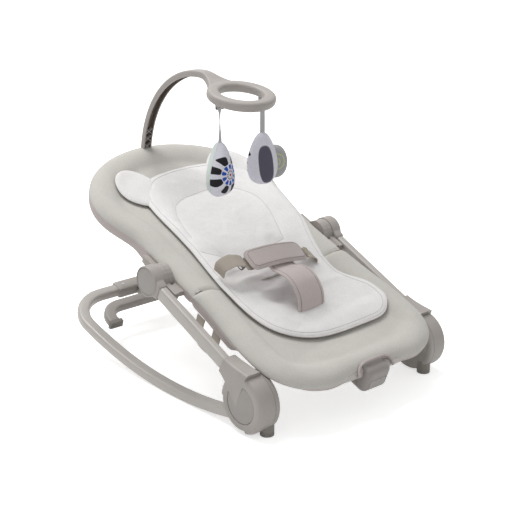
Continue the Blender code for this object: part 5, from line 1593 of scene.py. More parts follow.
    def edging(self) -> None:
        """The binding sewn round the body's edge."""
        points = [sheet_point(u, s, self.floor(u, s)) for u, s in even_line(self.outline(), 0.005)]
        piece = cord_line("insert_binding", points, 0.0017, True)
        dress(piece, "", [BINDING], Slot.WHITE)
        across_joint(piece, self.joint_reach)

    def build(self) -> None:
        """Makes the body, the ears and the binding."""
        self.body()
        self.ears()
        self.edging()


# Harness

@dataclass
class Harness:
    """Waist pad, crotch strap, belts, sliders and carry straps."""

    half_width: float = 0.080
    length: float = 0.047
    pad_thickness: float = 0.011
    centre: Vector = field(default_factory=lambda: side_place(0.1780, 0.2510))
    pitch: float = radians(34)
    yaw: float = 0.10
    roll: float = 0.11
    droop: float = 0.008
    strap_width: float = 0.068
    strap_lean: float = 0.014
    strap_thickness: float = 0.0036
    strap_arch: tuple = ((0.0960, 0.1830), (0.1010, 0.1990), (0.1090, 0.2130), (0.1240, 0.2240),
                         (0.1430, 0.2280))
    slit_s: float = -0.199
    belt_width: float = 0.025
    belt_thickness: float = 0.0016
    slot_u: float = 0.112
    slot_s: float = -0.088
    carry_x: float = 0.2015
    near_arch: tuple = ((-0.112, 0.181, 0.2605), (-0.125, 0.191, 0.2545), (-0.1315, 0.197, 0.2470))

    def long_axis(self) -> Vector:
        """Direction of the waist pad from side to side."""
        return Vector((1.0, self.yaw, -self.roll)).normalized()

    def pad_place(self, a: float, b: float, c: float) -> Vector:
        """Gives a place on the waist pad.

        Args:
            a: Place across the child.
            b: Place towards the back.
            c: Height off the pad's middle.

        Returns:
            The place in the scene.
        """
        back_axis = Vector((0.0, cos(self.pitch), sin(self.pitch)))
        face = self.long_axis().cross(back_axis).normalized()
        sag = self.droop * (a / self.half_width) ** 2
        return self.centre + self.long_axis() * a + back_axis * b + face * (c - sag)

    def sew(self, name: str, points: Sequence[Vector], radius: float, finish: Woven,
            closed: bool = False) -> None:
        """Makes a line of piping or stitches along points."""
        dress(cord_line(name, points, radius, closed), LOWER_BODY, [finish], Slot.TAUPE)

    def waist_pad(self) -> None:
        """The padded bar across the waist, with a sewn line inside its edge."""
        outline = rounded_rectangle(2 * self.half_width, self.length, 0.013, 6)
        sewn = rounded_rectangle(2 * self.half_width - 0.009, self.length - 0.009, 0.010, 6)
        pad = StuffedPad("waist_pad_cloth", soft_line(outline, 0.004, True, 2), self.pad_thickness,
                         edge=0.006, voxel=0.0026, seams=[soft_line(sewn, 0.004, True, 2)], closed_seams=True,
                         seam_width=0.004, seam_share=0.62, lower=0.8, pressure=5.0, cap=0.002)
        piece = pad.build(self.pad_place)
        dress(piece, LOWER_BODY, [TAUPE], Slot.TAUPE, "waist_pad")
        rim, line = ([self.pad_place(a, b, 0.0) for a, b in even_line(edge, 0.004)]
                     for edge in (outline, sewn))
        self.sew("waist_pad_piping", rim, 0.0018, TAUPE, True)
        ups = [self.pad_place(a, b, 1.0) - place for (a, b), place in zip(even_line(sewn, 0.004), line)]
        self.sew("waist_pad_stitches", laid_on(piece, line, ups), 0.0007, STITCH, True)

    def crotch_strap(self) -> None:
        """The padded strap from the seat's slit up under the waist pad, with piped edges."""
        points = [SEAT.point(self.strap_lean, self.slit_s, n) for n in (-0.004, 0.006)]
        for i, (y, z) in enumerate(self.strap_arch):
            points.append(side_place(y, z, self.strap_lean * (1.0 - i / 4)))
        under = -self.pad_thickness / 2 - self.strap_thickness / 2 - 0.0008
        points += [self.pad_place(0.0, b, under) for b in (-0.029, 0.016)]
        path = smooth_path(points, 0.004)
        across = [X_AXIS.lerp(self.long_axis(), smooth((i / (len(path) - 1) - 0.55) / 0.25))
                  for i in range(len(path))]
        piece = ribbon("crotch_strap_cloth", path, across, self.strap_width, self.strap_thickness, 0.0014)
        dress(piece, LOWER_BODY, [STRAP], Slot.TAUPE, "crotch_strap")
        lift = self.strap_thickness / 2 + 0.0006
        for label, side in SIDES:
            stitches = [point + wide * side * (self.strap_width / 2 - 0.0060)
                        + wide.cross(along.normalized()).normalized() * lift
                        for point, wide, along in zip(path, across, tangents(path))]
            self.sew("crotch_stitches_" + label, stitches, 0.0007, STITCH)
            rim = self.strap_width / 2 - 0.001
            piping = [point + wide * side * rim for point, wide in zip(path, across)]
            self.sew("crotch_piping_" + label, piping, 0.0022, STRAP)

    def belts(self) -> None:
        """Webbing from the waist pad's ends over an arch into the slots beside the seat."""
        under = -self.pad_thickness / 2 - self.belt_thickness / 2 - 0.0004
        for label, side in SIDES:
            near = side < 0
            start, rim = (self.pad_place(side * (self.half_width + out), 0.0, under)
                          for out in (-0.016, 0.002))
            mouth = SEAT.point(side * self.slot_u, self.slot_s, 0.026)
            lift = Z_AXIS * (0.016 if near else 0.003)
            points = [start, rim, rim.lerp(mouth, 0.20) + lift * 0.8]
            if near:
                points += [side_place(y, z, x) for x, y, z in self.near_arch]
            else:
                points += [rim.lerp(mouth, 0.66) + lift, mouth]
            points.append(points[-1] - SEAT.normal() * (0.016 if near else 0.030))
            path = smooth_path(points, 0.003)
            angles = [mix(self.pitch, SEAT.angle, smooth(i / (len(path) - 1) * 1.4 - 0.2))
                      for i in range(len(path))]
            across = [Vector((0.0, cos(angle), sin(angle))) for angle in angles]
            width = self.belt_width + (0.008 if near else 0.0)
            piece = ribbon("waist_webbing_" + label, path, across, width, self.belt_thickness)
            dress(piece, LOWER_BODY, [WEBBING], Slot.WEBBING, "waist_belt_" + label)
            slider = refined("belt_slider_" + label, "slider_frame_" + label, 0.0005)
            # the near slider takes the dark inner moulding as painted shade; the far one keeps the pale
            # slider moulding
            dress(slider, LOWER_BODY, [DARK if near else SLIDER], Slot.DARK, "belt_slider_" + label)

    def carry_straps(self) -> None:
        """Webbing loops that hang inside the legs."""
        rear, front, top, low, corner = -0.121, -0.172, -0.0115, -0.062, 0.020
        line = [(rear, top), (rear, low + corner)]
        line += arc((rear - corner, low + corner), corner, 0.0, -pi / 2, 8)[1:]
        line += arc((front + corner, low + corner), corner, -pi / 2, -pi, 8) + [(front, top)]
        for label, side in SIDES:
            path = [SEAT.point(side * self.carry_x, s, n) for s, n in line]
            across = [along.cross(X_AXIS) for along in tangents(path)]
            piece = ribbon("carry_webbing_" + label, path, across, 0.024, self.belt_thickness)
            dress(piece, LOWER_BODY, [WEBBING], Slot.WEBBING, "carry_strap_" + label)

    def build(self) -> None:
        """Makes every piece of the harness."""
        self.waist_pad()
        self.crotch_strap()
        self.belts()
        self.carry_straps()


# Rails, bridge and kickstand

@dataclass
class Base:
    """The two bent rails and the moulded bridge that joins them."""

    rail_x: float = 0.2335
    width: float = 0.026
    height: float = 0.020
    corner: float = 0.006
    radius: float = 0.95
    contact_y: float = 0.215
    front_y: float = 0.040
    tail: float = radians(17)
    tail_length: float = 0.1063
    bend: float = 0.0875
    bridge_half: float = 0.108
    socket: float = 0.040

    def tail_frame(self) -> Matrix:
        """Finds the sloping tail.

        Returns:
            A frame at the middle of the crossbar with Y along the tail.
        """
        reach = self.radius - self.height / 2
        y = self.contact_y + reach * sin(self.tail) + self.tail_length * cos(self.tail)
        z = self.radius - reach * cos(self.tail) + self.tail_length * sin(self.tail)
        return Matrix.Translation(side_place(y, z)) @ Matrix.Rotation(self.tail, 4, "X")

    def rail(self) -> Piece:
        """Draws the left rail: rocker arc, rising tail, corner and half of the crossbar.

        Returns:
            The rail.
        """
        reach = self.radius - self.height / 2
        centre = side_place(self.contact_y, self.radius, -self.rail_x)
        front = asin((self.front_y - self.contact_y) / reach)
        start, place = (centre + Vector((0.0, reach * sin(angle), -reach * cos(angle)))
                        for angle in (front, self.tail))
        tube = Drawn("rail_tube_left", start, X_AXIS, Slope(front).normal(), self.width, self.height,
                     self.corner, 5).begin()
        tube.turn(centre, X_AXIS, self.tail - front, 36)
        back = Vector((0.0, cos(self.tail), sin(self.tail))) * (self.tail_length - self.bend)
        draw_out(back)
        tube.turn(place + back + X_AXIS * self.bend, Slope(self.tail).normal(), -pi / 2, 18)
        draw_out(X_AXIS * (self.rail_x - self.bend - self.bridge_half + self.socket))
        return tube.end()

    def build(self) -> None:
        """Makes the rails and the bridge and keeps the fittings."""
        left = self.rail()
        for (label, side), piece in zip(SIDES, (left, mirrored(left, "rail_tube_right"))):
            dress(piece, "base", [PAINTED], Slot.TUBE, "rocker_rail_" + label)
            keep_node("rail_end_" + label, DARK)
            keep_node("bridge_rivet_" + label, STEEL)
        dress(refined("rear_bridge", "bridge_moulding", 0.0009), "base", [FRAME], Slot.FRAME, "rear_bridge")


@dataclass
class Kickstand:
    """The bent bar that swings under the rear bridge, with its rubber pads."""

    tail: Matrix                   # frame of the rails' tail, in which the sizes below are read
    axis_t: float = -0.027
    axis_n: float = -0.003
    barrel: float = 0.0085
    bar_t: float = -0.0505
    bend_x: float = 0.134
    bend: float = 0.045
    arm: float = 0.004
    width: float = 0.026
    height: float = 0.018
    lug_x: float = 0.036
    lug_width: float = 0.012
    play: float = 0.0005
    ear_width: float = 0.018

    def place(self, x: float, t: float, n: float) -> Vector:
        """The place of (x, t, n) in the tail's frame."""
        return self.tail @ Vector((x, t, n))

    def bar(self) -> Piece:
        """Draws the bar and joins the ears that hold its pin.

        Returns:
            The bar.
        """
        turn = self.tail.to_3x3()
        end_t = self.bar_t - self.bend
        along, up = turn @ Y_AXIS, turn @ Z_AXIS
        start = self.place(-self.bend_x - self.bend, end_t - self.arm, 0.0)
        tube = Drawn("kickstand_moulding", start, X_AXIS, up, self.width, self.height, 0.005).begin()
        draw_out(along * self.arm)
        tube.turn(self.place(-self.bend_x, end_t, 0.0), up, -pi / 2, 12)
        draw_out(X_AXIS * 2 * self.bend_x)
        tube.turn(self.place(self.bend_x, end_t, 0.0), up, -pi / 2, 12)
        draw_out(along * -self.arm)
        piece = tube.end()
        edge = self.bar_t + self.width / 2 - 0.004
        ear = arc((self.axis_t, self.axis_n), self.barrel, radians(-100), radians(100), 14)
        ear += [(edge, side * (self.height / 2 - 0.003)) for side in (1, -1)]
        inner, outer = (self.lug_x + side * (self.lug_width / 2 + self.play) for side in (-1, 1))
        far = outer + self.ear_width
        for low, high in ((-inner, inner), (-far, -outer), (outer, far)):
            tool = cutter("ear", [self.place(low, t, n) for t, n in ear], X_AXIS * (high - low))
            combine(piece, tool, Solid.JOIN)
        face_out(piece)
        soften(piece, 0.0006)
        return piece

    def build(self) -> None:
        """Makes the bar and the pads and keeps the pin."""
        dress(self.bar(), "kickstand", [FRAME], Slot.FRAME, "kickstand_bar")
        for label, side in SIDES:
            pad = refined("kickstand_pad_" + label, "grip_pad_" + label, 0.0007)
            dress(pad, "kickstand", [RUBBER], Slot.RUBBER, "kickstand_pad_" + label)
        keep_node("kickstand_pin", STEEL)


# Legs and hubs

@dataclass
class Legs:
    """Lower hubs, leg tubes and upper hubs; the left side is modelled, the right one mirrors it."""

    lower: Vector = field(default_factory=lambda: side_place(0.0, 0.060))
    upper: Vector = field(default_factory=lambda: Vector((0.0, *HINGE)))
    outer_x: float = 0.2520
    leg_x: float = 0.2395
    leg_width: float = 0.0175
    leg_height: float = 0.028
    angle: float = radians(24.3)
    shell: float = 0.058
    face: float = 0.050
    split_x: float = 0.2160
    inner_x: float = 0.202
    cap: float = 0.0370
    cap_recess: float = 0.0376
    cap_floor: float = 0.2425
    window_x: tuple = ((0.2482, 0.2190, 0.0412, 20), (0.2540, 0.2470, 0.0492, 30))
    window_ends: tuple = (radians(4.7), radians(-102.7))
    foot_x: float = 0.2145
    foot_y: float = -0.032
    drum: float = 0.031
    drum_bore: float = 0.0284
    drum_floor: float = 0.2440
    drum_cap: float = 0.0280
    drum_inner_x: float = 0.2285
    neck_rows: tuple = ((0.010, 0.0400, 0.008, -0.2165, -0.2520), (0.030, 0.0320, 0.006, -0.2165, -0.2520),
                        (0.045, 0.0262, 0.004, -0.2168, -0.2520), (0.058, 0.0215, 0.002, -0.2175, -0.2520),
                        (0.0705, 0.0182, 0.0003, -0.2185, -0.2520), (0.0755, 0.0177, 0.0, -0.2190, -0.2520),
                        (0.0765, 0.0169, 0.0, -0.2198, -0.2510))
    socket_rows: tuple = ((0.006, 0.0240, 0.0106), (0.022, 0.0205, 0.0106), (0.031, 0.0178, 0.0106),
                          (0.0375, 0.0162, 0.0104), (0.0385, 0.0154, 0.0098))
    foot_profile: tuple = ((0.0, 0.0118), (0.0005, 0.0129), (0.0014, 0.0135), (0.0034, 0.0135),
                           (0.0038, 0.0129), (0.0044, 0.0127), (0.0050, 0.0134), (0.0072, 0.0135),
                           (0.0076, 0.0129), (0.0082, 0.0127), (0.0088, 0.0134), (0.0092, 0.0135),
                           (0.0258, 0.0135))

    def leg_frame(self) -> tuple[Vector, Vector, Vector, float]:
        """Finds the leg.

        Returns:
            A point of its middle line beside the lower hub, its direction, its upright, and its length to the
            upper hub.
        """
        along = Vector((0.0, cos(self.angle), sin(self.angle)))
        up = Slope(self.angle).normal()
        to_upper = self.upper - self.lower
        return self.lower + up * to_upper.dot(up) + X_AXIS * -self.leg_x, along, up, to_upper.dot(along)

    def bar(self) -> Piece:
        """Draws the leg's tube.

        Returns:
            The tube.
        """
        foot, along, up, reach = self.leg_frame()
        tube = Drawn("leg_bar_left", foot + along * 0.040, X_AXIS, up, self.leg_width, self.leg_height,
                     0.0050, 6).begin()
        draw_out(along * (reach - 0.0285 - 0.040))
        return tube.end()

    def collar(self, name: str, rows: Sequence[tuple], corner: float) -> Piece:
        """Lofts a socket round the leg.

        Args:
            name: Name of the piece.
            rows: Each ring's place along the leg, half height, drop, and inner and outer x.
            corner: Radius of its long edges.

        Returns:
            The socket.
        """
        foot, along, up, reach = self.leg_frame()
        rings = []
        for place, half, low, inner, outer in rows:
            middle = (inner + outer) / 2 + self.leg_x
            rings.append([foot + along * place + X_AXIS * (middle + a) + up * (b - low)
                          for a, b in rounded_rectangle(inner - outer, 2 * half, corner, 6)])
        return lofted(name, rings)

    def shoulder(self, edge_x: float, face_x: float) -> list[Point]:
        """The rounded edge of a lower hub's shell, from its flat face out to its rim."""
        return [(-mix(edge_x, face_x, cos(t)), mix(self.face, self.shell, sin(t)))
                for t in (pi / 2 * i / 7 for i in range(8))]

    def window(self, x: float, end_x: float, radius: float, count: int) -> Piece:
        """Makes the tool that cuts room for the rail's end to turn.

        Args:
            x: Its outer side.
            end_x: Its inner side.
            radius: Its distance from the hub's axis.
            count: Points round its inner wall.

        Returns:
            The tool.
        """
        start, end = self.window_ends
        outline = turned(radius, start, end, count) + turned(0.078, end, start, 20)
        return cutter("window", [self.lower + Vector((-x, y, z)) for y, z in outline], X_AXIS * (x - end_x))

    def hub(self) -> Piece:
        """Makes the outer shell of the lower hub with the neck that takes the leg.

        Returns:
            The shell.
        """
        outer, recess = self.outer_x, self.cap_recess
        profile = [(-self.cap_floor, recess), (0.0009 - outer, recess), (0.0003 - outer, recess + 0.0003),
                   (-outer, recess + 0.0009)]
        profile += self.shoulder(outer - 0.0085, outer)
        profile += [(-self.split_x - 0.0006, self.shell), (-self.split_x, self.shell - 0.0006)]
        piece = lathed("hub_outer_moulding_left", profile, self.lower, 96)
        combine(piece, self.collar("neck", self.neck_rows, 0.0062), Solid.JOIN)
        for sizes in self.window_x:
            combine(piece, self.window(*sizes), Solid.CUT)
        self.cut_foot(piece)
        face_out(piece)
        soften(piece, 0.0005, angle=radians(50))
        return piece

    def cut_foot(self, piece: Piece) -> None:
        """Cuts the seat of the rubber foot.

        Args:
            piece: The shell that it is cut from.
        """
        middle = side_place(self.foot_y, -0.005, -self.foot_x)
        ring = [middle + Vector((x, y, 0.0)) for x, y in turned(0.0139, 0, 2 * pi, 40)[:-1]]
        combine(piece, cutter("foot_seat", ring, Z_AXIS * 0.0313), Solid.CUT)

    def inner_hub(self) -> Piece:
        """Makes the inner shell of the lower hub with its boss.

        Returns:
            The shell.
        """
        inner = self.inner_x
        profile = [(0.003 - inner, 0.0112), (0.0024 - inner, 0.0122), (-inner, 0.0125)]
        profile += self.shoulder(inner + 0.007, inner)
        profile += [(-0.2150, self.shell), (-0.2156, self.shell - 0.0006)]
        piece = lathed("hub_inner_moulding_left", profile, self.lower, 96)
        self.cut_foot(piece)
        face_out(piece)
        return piece

    def button(self, name: str, centre: Vector, radius: float, thickness: float) -> Piece:
        """A round press cap with a rounded edge and a slight crown.

        Args:
            name: Name of the piece.
            centre: A point of its axis in the model's middle.
            radius: Its radius.
            thickness: Its thickness.

        Returns:
            The cap.
        """
        edge = ((thickness, -0.0003), (thickness - 0.0003, 0.0), (0.0020, 0.0), (0.0013, -0.0002),
                (0.0009, -0.0007), (0.0008, -0.0014))
        crown = ((0.0006, 0.80), (0.0004, 0.5), (0.00005, 0.2), (0.0, 0.02))
        profile = [(-self.outer_x + depth, radius + out) for depth, out in edge]
        profile += [(-self.outer_x + depth, radius * share) for depth, share in crown]
        return lathed(name, profile, centre, 84)

    def foot(self) -> Piece:
        """The ribbed rubber foot under the lower hub."""
        centre = side_place(self.foot_y, 0.0, -self.foot_x)
        return lathed("ribbed_foot_left", self.foot_profile, centre, 48, upright=True)

    def upper_drum(self) -> Piece:
        """Makes the outer drum of the upper hub with the socket of the leg.

        Returns:
            The drum.
        """
        outer, bore, rim = self.outer_x, self.drum_bore, 0.0022
        profile = [(-self.drum_floor, bore), (-outer + 0.0005, bore), (-outer, 0.0287)]
        profile += [(-outer + rim * (1 - sin(t)), self.drum - rim * (1 - cos(t)))
                    for t in (pi / 2 * i / 5 for i in range(5, -1, -1))]
        profile += [(-self.drum_inner_x - 0.0008, self.drum), (-self.drum_inner_x, self.drum - 0.0006)]
        piece = lathed("drum_moulding_left", profile, self.upper, 84)
        reach = self.leg_frame()[3]
        rows = [(reach - back, half, 0.0, half_x - self.leg_x, -half_x - self.leg_x)
                for back, half, half_x in self.socket_rows]
        combine(piece, self.collar("drum_neck", rows, 0.005), Solid.JOIN)
        room = [self.upper + Vector((-self.drum_floor, y, z)) for y, z in turned(bore, 0.0, 2 * pi, 85)[:-1]]
        combine(piece, cutter("cap_room", room, X_AXIS * -0.02), Solid.CUT)
        face_out(piece)
        soften(piece, 0.0005, angle=radians(50))
        return piece

    def build(self) -> None:
        """Makes the left side's pieces, mirrors them and keeps the hidden ones."""
        made = (
            (self.hub(), "hub_outer_moulding", LOWER_BODY, FRAME, Slot.FRAME, "hub_shell_outer_"),
            (self.inner_hub(), "hub_inner_moulding", LOWER_BODY, FRAME, Slot.FRAME, "hub_shell_inner_"),
            (self.button("lower_cap_left", self.lower, self.cap, 0.0057), "lower_cap", "fold_button_", CAP_SHADED,
             Slot.DARK, "fold_button_"),
            (self.foot(), "ribbed_foot", LOWER_BODY, RUBBER, Slot.RUBBER, "front_foot_"),
            (self.bar(), "leg_bar", LOWER_BODY, PAINTED, Slot.TUBE, "leg_tube_"),
            (self.upper_drum(), "drum_moulding", LOWER_BODY, FRAME, Slot.FRAME, "leg_drum_"),
            (self.button("upper_cap_left", self.upper, self.drum_cap, 0.0047), "upper_cap", "recline_button_",
             CAP_SHADED, Slot.DARK, "recline_button_"),
        )
        for piece, name, body, finish, slot, node in made:
            for label, side in SIDES:
                shown = piece if side < 0 else mirrored(piece, name + "_right")
                dress(shown, body + label if body.endswith("_") else body, [finish], slot, node + label)
        for label, side in SIDES:
            for name, finish in (("fold_pin_", STEEL), ("recline_pin_", STEEL), ("seat_arm_", FRAME),
                                 ("back_arm_", FRAME), ("back_tube_", PAINTED)):
                keep_node(name + label, finish)
        keep_node("seat_tube", PAINTED)
        keep_node("toy_bar_socket", DARK)


# Front unit

@dataclass
class FrontUnit:
    """Housing at the front of the seat with its inset button."""

    half_width: float = 0.033
    back_s: float = -0.370
    front_s: float = -0.416
    top: float = 0.024
    bottom: float = -0.030
    corner: float = 0.013
    split_s: float = -0.3935
    button_half: float = 0.021
    button_low: float = -0.021
    button_high: float = 0.0
    wave: float = 0.0014
    gap: float = 0.0006
    arch: tuple = ((0.0460, -0.4060, 0.0120), (0.0420, -0.3960, 0.0230), (0.0300, -0.3912, 0.0300),
                   (0.0, -0.3905, 0.0320))

    def half(self, name: str, front: bool) -> Piece:
        """Makes one half of the rounded housing, in the seat's plane.

        Args:
            name: Name of the piece.
            front: True for the half away from the seat.

        Returns:
            The half.
        """
        deselect()
        middle = ((self.back_s + self.front_s) / 2, (self.top + self.bottom) / 2)
        bpy.ops.mesh.primitive_cube_add(size=1.0, location=(0.0, *middle))
        piece = primitive(name, (2 * self.half_width, self.back_s - self.front_s, self.top - self.bottom))
        edit_all()
        bpy.ops.mesh.bevel(offset=self.corner, segments=9, affect="EDGES")
        bpy.ops.mesh.select_all(action="SELECT")
        split = self.split_s - (0.00035 if front else -0.00035)
        bpy.ops.mesh.bisect(plane_co=(0.0, split, 0.0), plane_no=(0.0, 1.0, 0.0), use_fill=True,
                            clear_outer=front, clear_inner=not front)
        end_edit()
        face_out(piece)
        return piece

    def wavy(self, name: str, gap: float, s: float, depth: float) -> Piece:
        """Draws out the outline of the button, whose upper edge is a wave.

        Args:
            name: Name of the piece.
            gap: How much wider than the button it is on each side.
            s: Its front.
            depth: How far it reaches back.

        Returns:
            The prism.
        """
        half, low, high, corner = self.button_half + gap, self.button_low - gap, self.button_high + gap, 0.004
        outline = arc((-half + corner, low + corner), corner, pi, 1.5 * pi, 5)
        outline += arc((half - corner, low + corner), corner, 1.5 * pi, 2 * pi, 5)
        for i in range(29):
            u = mix(half, -half, i / 28)
            outline.append((u, high + self.wave * cos(3 * pi * u / half)))
        return cutter(name, [Vector((u, s, n)) for u, n in outline], Y_AXIS * depth)

    def build(self) -> None:
        """Makes both halves, the button and the binding of the cover's opening."""
        front = self.half("unit_front_moulding", True)
        combine(front, self.wavy("recess", self.gap, self.front_s - 0.01, 0.0168), Solid.CUT)
        face_out(front)
        rear = self.half("unit_rear_moulding", False)
        button = self.wavy("unit_press_plate", 0.0, self.front_s - 0.0004, 0.0044)
        places = [(-u, s, n) for u, s, n in self.arch] + list(reversed(self.arch[:-1]))
        edge = smooth_path([SEAT.point(*place) for place in places], 0.003)
        dress(cord_line("unit_opening_binding", edge, 0.0026), LOWER_BODY, [TAUPE], Slot.TAUPE)
        turn = Matrix.Translation(SEAT.origin) @ Matrix.Rotation(SEAT.angle, 4, "X")
        for piece, width, segments, body, node, finish in (
                (front, 0.0005, 2, LOWER_BODY, "unit_front_shell", UNIT_SHADED),
                (rear, 0.0004, 2, LOWER_BODY, "unit_rear_shell", UNIT_SHADED),
                (button, 0.0007, 3, "unit_button", "unit_button", CAP_SHADED)):
            soften(piece, width, segments, radians(50))
            piece.data.transform(turn)
            dress(piece, body, [finish], Slot.DARK, node)


# Toy bar and toys

def bezier(points: Sequence[Vector], share: float) -> Vector:
    """A point of a cubic curve.

    Args:
        points: Its four control points.
        share: From 0 at its start to 1 at its end.

    Returns:
        The point.
    """
    a, b, c, d = points
    rest = 1.0 - share
    return a * rest ** 3 + b * (3 * share * rest ** 2) + c * (3 * share ** 2 * rest) + d * share ** 3


@dataclass
class ToyBar:
    """The bow with its open channel, and the ring over the child."""

    width: float = 0.021
    depth: float = 0.013
    wall: float = 0.0028
    curve: tuple = ((0.612, 0.372), (0.600, 0.500), (0.505, 0.580), (0.405, 0.580))
    plug: float = 0.027
    ring: tuple = (0.287, 0.5525)
    ring_radius: float = 0.057
    ring_width: float = 0.0250
    ring_height: float = 0.0195
    pitch: float = radians(10)
    rib_rise: float = 0.019
    toy_x: float = 0.056
    lug_x: float = 0.007
    axis_z: float = 0.5375

    def spine(self) -> list[Vector]:
        """Control points of the bow's curve."""
        return [side_place(y, z) for y, z in self.curve]

    def bow(self) -> Piece:
        """The channel-section bow, drawn along its curve and flared into the ring.

        Returns:
            The bow in the frame plastic, with painted shade on the inside of its channel.
        """
        first = self.spine()
        reach = self.ring_radius * cos(self.pitch)
        rear = side_place(self.ring[0], self.ring[1] + self.ring_radius * sin(self.pitch)) + Y_AXIS * reach
        slope = Vector((0.0, cos(self.pitch), sin(self.pitch)))
        second = [first[3], first[3] + Vector((0.0, -0.022, 0.0)), rear + slope * 0.026, rear]
        wide = self.width + 0.003
        path = [bezier(first, i / 40) for i in range(40)] + [bezier(second, i / 14) for i in range(15)]
        widths = [mix(self.width, wide, i / 40) for i in range(40)]
        widths += [mix(wide, self.ring_width * 3.0, (i / 14) ** 2.4) for i in range(15)]
        rings = []
        for point, width, along in zip(path, widths, tangents(path)):
            up = along.normalized().cross(X_AXIS)
            rings.append([point + X_AXIS * a + up * b for a, b in self.channel(width)])
        piece = lofted("toy_bar_moulding", rings, False, radians(40))
        for finish in (FRAME, CHANNEL_SHADE):
            piece.data.materials.append(finish.material())
        sides = len(rings[0])
        # the channel's inner walls and floor take the painted shade
        for index, face in enumerate(piece.data.polygons):
            if index < (len(rings) - 1) * sides and index % sides in (1, 2, 3):
                face.material_index = 1
        return piece

    def channel(self, width: float) -> list[Point]:
        """The channel's section, open on the child's side, with a rounded back.

        Args:
            width: Its width.

        Returns:
            Its outline.
        """
        half, depth, edge = width / 2, self.depth / 2, 0.0036
        inside = [(-half, -depth), (-half + self.wall, -depth), (-half + self.wall, depth - self.wall),
                  (half - self.wall, depth - self.wall), (half - self.wall, -depth), (half, -depth)]
        back = arc((half - edge, depth - edge), edge, 0.0, pi / 2, 5)
        return inside + back + arc((-half + edge, depth - edge), edge, pi / 2, pi, 5)

    def hoop(self) -> Piece:
        """The flat ring, turned about its sloping axis.

        Returns:
            The ring.
        """
        centre = side_place(*self.ring)
        up = Slope(self.pitch).normal()
        shape = rounded_rectangle(self.ring_width, self.ring_height, 0.0075, 5)
        rings = []
        for turn in (2 * pi * i / 80 for i in range(80)):
            out = Vector((sin(turn), cos(turn) * cos(self.pitch), cos(turn) * sin(self.pitch)))
            rings.append([centre + out * (self.ring_radius + a) + up * b for a, b in shape])
        return lofted("ring", rings, True)

    def plug_piece(self) -> Piece:
        """The end that goes into the socket behind the head.

        Returns:
            The plug.
        """
        foot, second = self.spine()[:2]
        rise = (second - foot).normalized()
        shape = rounded_rectangle(self.width - 0.0004, self.depth - 0.0004, 0.0025, 3)
        return lofted("plug", [[foot + rise * h + X_AXIS * a + rise.cross(X_AXIS) * b for a, b in shape]
                               for h in (-self.plug, 0.008)])

    def ribs(self) -> list[Piece]:
        """The crossed ribs in the bow's channel.

        Returns:
            The ribs.
        """
        shape = rounded_rectangle(0.0016, self.depth - self.wall - 0.003, 0.0003, 1)
        half = self.width / 2 - self.wall / 2
        spine = self.spine()
        speed = 3.0 * (spine[1] - spine[0]).length
        made = []
        for i in range(3):
            for side in (-1, 1):
                ends = []
                for height, across in ((0.012 + self.rib_rise * i, side),
                                       (0.008 + self.rib_rise * (i + 1), -side)):
                    place = bezier(spine, height / speed)
                    along = (bezier(spine, height / speed + 0.01) - place).normalized()
                    out = along.cross(X_AXIS)
                    wide = (along * self.rib_rise - X_AXIS * 2 * half * side).normalized().cross(out)
                    place = place + X_AXIS * half * across - out * (0.0022 + 0.0003 * side)
                    ends.append([place + wide * a + out * b for a, b in shape])
                made.append(lofted("rib", ends))
        return made

    def lugs(self) -> list[Piece]:
        """The lugs under the ring that hold the toys' pins.

        Returns:
            The lugs.
        """
        top, bottom = self.ring[1] - self.ring_height / 2 + 0.004, self.axis_z - 0.0036
        shape = rounded_rectangle(0.008, top - bottom, 0.002, 4)
        made = []
        for middle in (toy + lug for toy in (-self.toy_x, self.toy_x) for lug in (-self.lug_x, self.lug_x)):
            made.append(lofted("lug", [[side_place(self.ring[0], (top + bottom) / 2 + b, x) + Y_AXIS * a
                                        for a, b in shape] for x in (middle - 0.001, middle + 0.001)]))
        return made

    def build(self) -> None:
        """Joins bow, ring, plug, ribs and lugs."""
        piece = self.bow()
        for tool in [self.hoop(), self.plug_piece()] + self.ribs() + self.lugs():
            combine(piece, tool, Solid.JOIN)
        face_out(piece)
        smooth_edges(piece, radians(40))
        dress(piece, "toy_bar", [], Slot.FRAME, "toy_bar")


